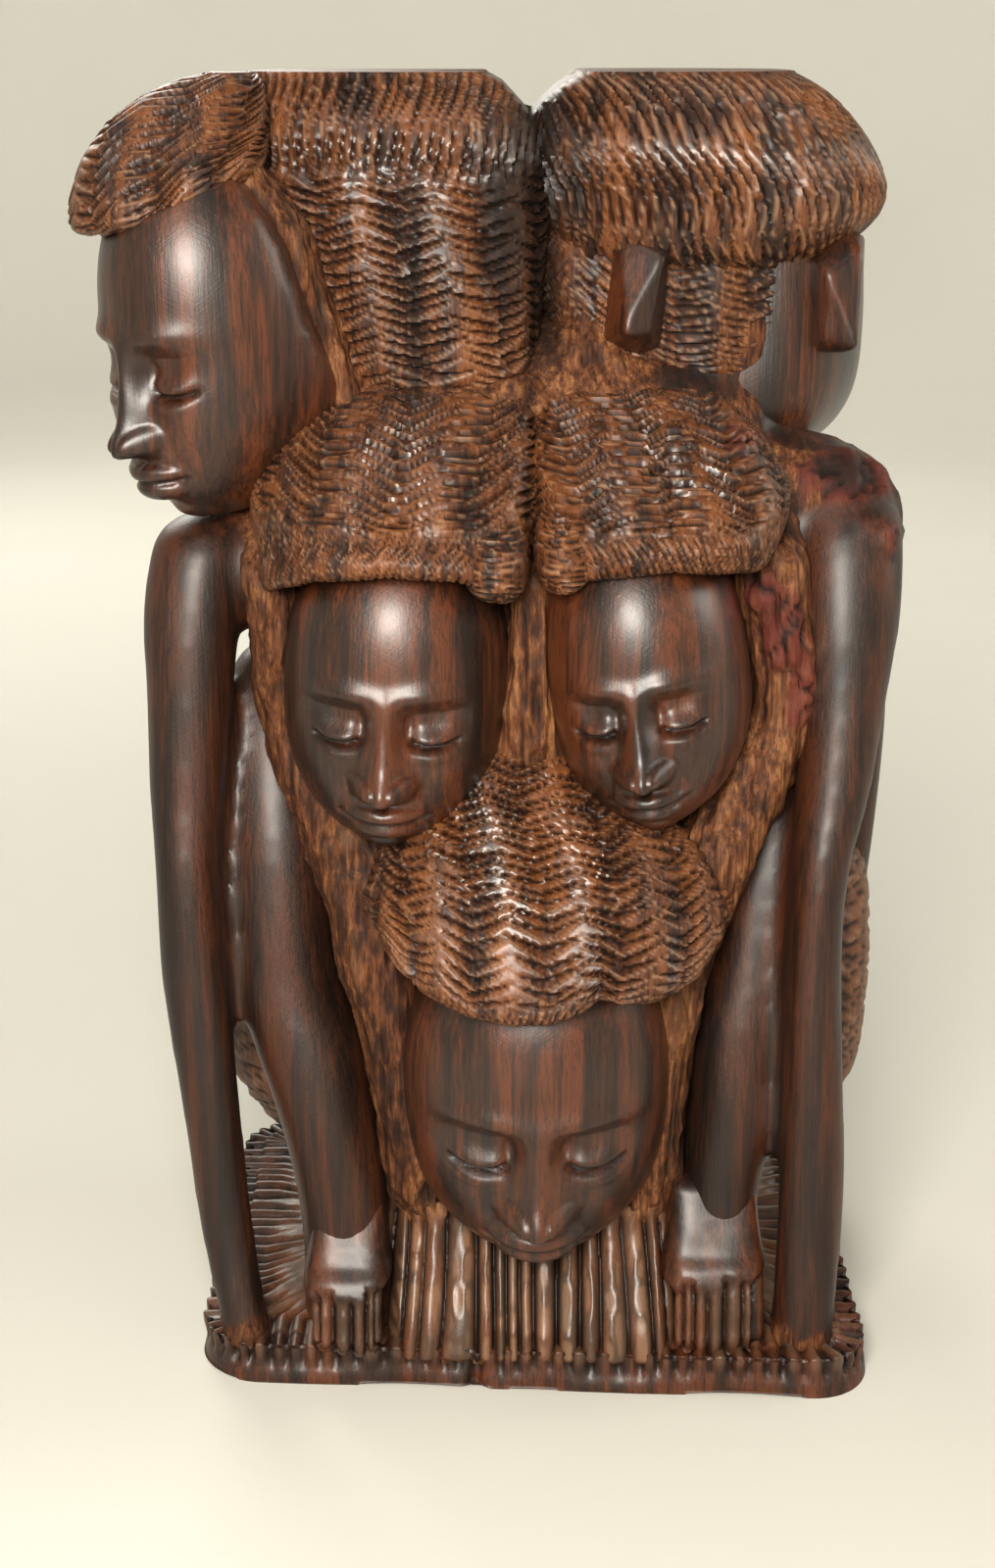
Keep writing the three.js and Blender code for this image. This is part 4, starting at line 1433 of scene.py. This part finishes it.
crispHair = 45  # edges of the hair's cuts over this angle stay sharp
pieces = {
    "front_faces": [faces["upperLeft"], faces["middleLeft"], faces["middleRight"]],
    "lowest_and_back_faces": [faces["lowest"], *backFaces],
    "left_hair": [hairs["upperLeft"], hairs["middleLeft"], hairs["leftCurl"]],
    "right_hair": [hairs[name] for name in ("middleRight", "rightCurl", "lowerBackLeft", "lowerBackRight")],
    "upper_middle_hair": [hairs["upperMiddle"]],
    "upper_right_hair": [hairs["upperRight"], hairs["nape"], *earPieces],
    "lowest_hair": [hairs["lowest"]],
    "body": [bodyPiece],
    "rough_ground": groundPieces,
    "base": [basePiece, *footPieces],
    "apron": [apronPiece],
}
for name, parts in pieces.items():
    finished(parts, name, crispHair if name.endswith("hair") else None)
print("wood finished")


# Camera, floor, backdrop and light. The camera's place is in millimetres, and the rest of it in metres.

photo = {
    "height": 1600, "focus": 2350, "tilt": 18.1, "place": (-8, -506, 288),
    "sensor": 36, "clip": (0.02, 20),
}
stage = {"paper": (0.5, 0.49, 0.442), "shade": 0.93, "half": 1.7, "bend": 0.5, "tall": 1.6, "steps": 80}


def makeCamera():
    camera = bpy.data.objects.new("camera", bpy.data.cameras.new("camera"))
    bpy.context.scene.collection.objects.link(camera)
    camera.data.sensor_width = photo["sensor"]
    camera.data.lens = photo["focus"] / photo["height"] * photo["sensor"]
    camera.data.clip_start, camera.data.clip_end = photo["clip"]
    camera.location = Vector(photo["place"]) * millimetre
    camera.rotation_euler = (math.radians(90 - photo["tilt"]), 0, 0)
    bpy.context.scene.camera = camera


def makeSheet():
    # one round sheet: the floor, a bend and a wall all round, so that every side has a pale backdrop
    bpy.ops.object.select_all(action="DESELECT")
    bpy.ops.mesh.primitive_grid_add(x_subdivisions=stage["steps"], y_subdivisions=stage["steps"], size=2)
    sheet = bpy.context.object
    sheet.name = "paper"
    flat = readPoints(sheet)
    u, v = flat[:, 0], flat[:, 1]
    bend = stage["bend"]
    start = stage["half"] - bend
    way = np.maximum(np.abs(u), np.abs(v)) * (start + bend * math.pi / 2 + stage["tall"])
    angle = np.clip((way - start) / bend, 0, math.pi / 2)
    radius = np.where(way < start, way, start + bend * np.sin(angle))
    z = bend * (1 - np.cos(angle)) + np.maximum(way - start - bend * math.pi / 2, 0)
    away = np.maximum(np.hypot(u, v), 1e-9)
    points = np.stack([radius * u / away, radius * v / away, np.where(way < start, 0, z)], -1)
    sheet.data.vertices.foreach_set("co", points.astype(np.float32).ravel())
    sheet.data.update()
    bpy.ops.object.shade_smooth()
    return sheet


def paperMaterial():
    paper = bpy.data.materials.new("paper")
    paper.use_nodes = True
    tree = paper.node_tree
    shader = tree.nodes["Principled BSDF"]
    shader.inputs["Roughness"].default_value = 0.9
    noise = node(tree, "ShaderNodeTexNoise", {"Scale": 6.0, "Detail": 3.0})
    place = node(tree, "ShaderNodeTexCoord").outputs["Object"]
    darker = tuple(stage["shade"] * part for part in stage["paper"])
    shade = mixed(tree, noise.outputs["Fac"], stage["paper"], darker)
    wire(tree, (place, noise.inputs["Vector"]), (shade, shader.inputs["Base Color"]))
    return paper


warm = (1, 0.97, 0.9)
lights = {
    "lamp": {
        "place": (-0.07, -0.56, 0.4), "aim": (0, 0, 0.15), "size": 0.2, "power": 7.8,
        "colour": (1, 0.94, 0.85),
    },
    "ceiling": {
        "place": (-0.15, -0.2, 1.1), "aim": (0, 0.1, 0.1), "size": 0.5, "power": 2.4,
        "colour": (1, 0.97, 0.92),
    },
    "window": {"place": (0.85, 0.1, 0.5), "aim": (0.1, 0.35, 0.1), "size": 0.4, "power": 3.5, "colour": warm},
    "back window": {"place": (-0.35, 0.9, 0.7), "aim": (0, 0, 0.15), "size": 0.5, "power": 7, "colour": warm},
}
washes = {"count": 6, "from": 0.75, "high": 1.2, "to": 1.7, "low": 0.7, "size": 0.5, "power": 9.5}
room = {"colour": (1, 0.95, 0.88, 1), "strength": 0.04}


def makeLight(name, place, aim, size, power, colour):
    lamp = bpy.data.lights.new(name, "AREA")
    lamp.size, lamp.energy, lamp.color = size, power, colour
    light = bpy.data.objects.new(name, lamp)
    bpy.context.scene.collection.objects.link(light)
    light.location = place
    light.rotation_euler = (Vector(aim) - Vector(place)).to_track_quat("-Z", "Y").to_euler()


def makeWashes():
    # lights for the backdrop, which face away from the carving
    for number in range(washes["count"]):
        angle = math.radians(360 / washes["count"] * number)
        place = (washes["from"] * math.cos(angle), washes["from"] * math.sin(angle), washes["high"])
        aim = (washes["to"] * math.cos(angle), washes["to"] * math.sin(angle), washes["low"])
        makeLight("wash " + str(number), place, aim, washes["size"], washes["power"], warm)


def makeRoom():
    world = bpy.data.worlds.new("room")
    bpy.context.scene.world = world
    world.use_nodes = True
    background = world.node_tree.nodes["Background"]
    background.inputs["Color"].default_value = room["colour"]
    background.inputs["Strength"].default_value = room["strength"]
    bpy.context.scene.view_settings.view_transform = "Standard"
    bpy.context.scene.view_settings.look = "None"


makeCamera()
sheet = makeSheet()
sheet.data.materials.append(paperMaterial())
for name, light in lights.items():
    makeLight(name, **light)
makeWashes()
makeRoom()
print("stage set")
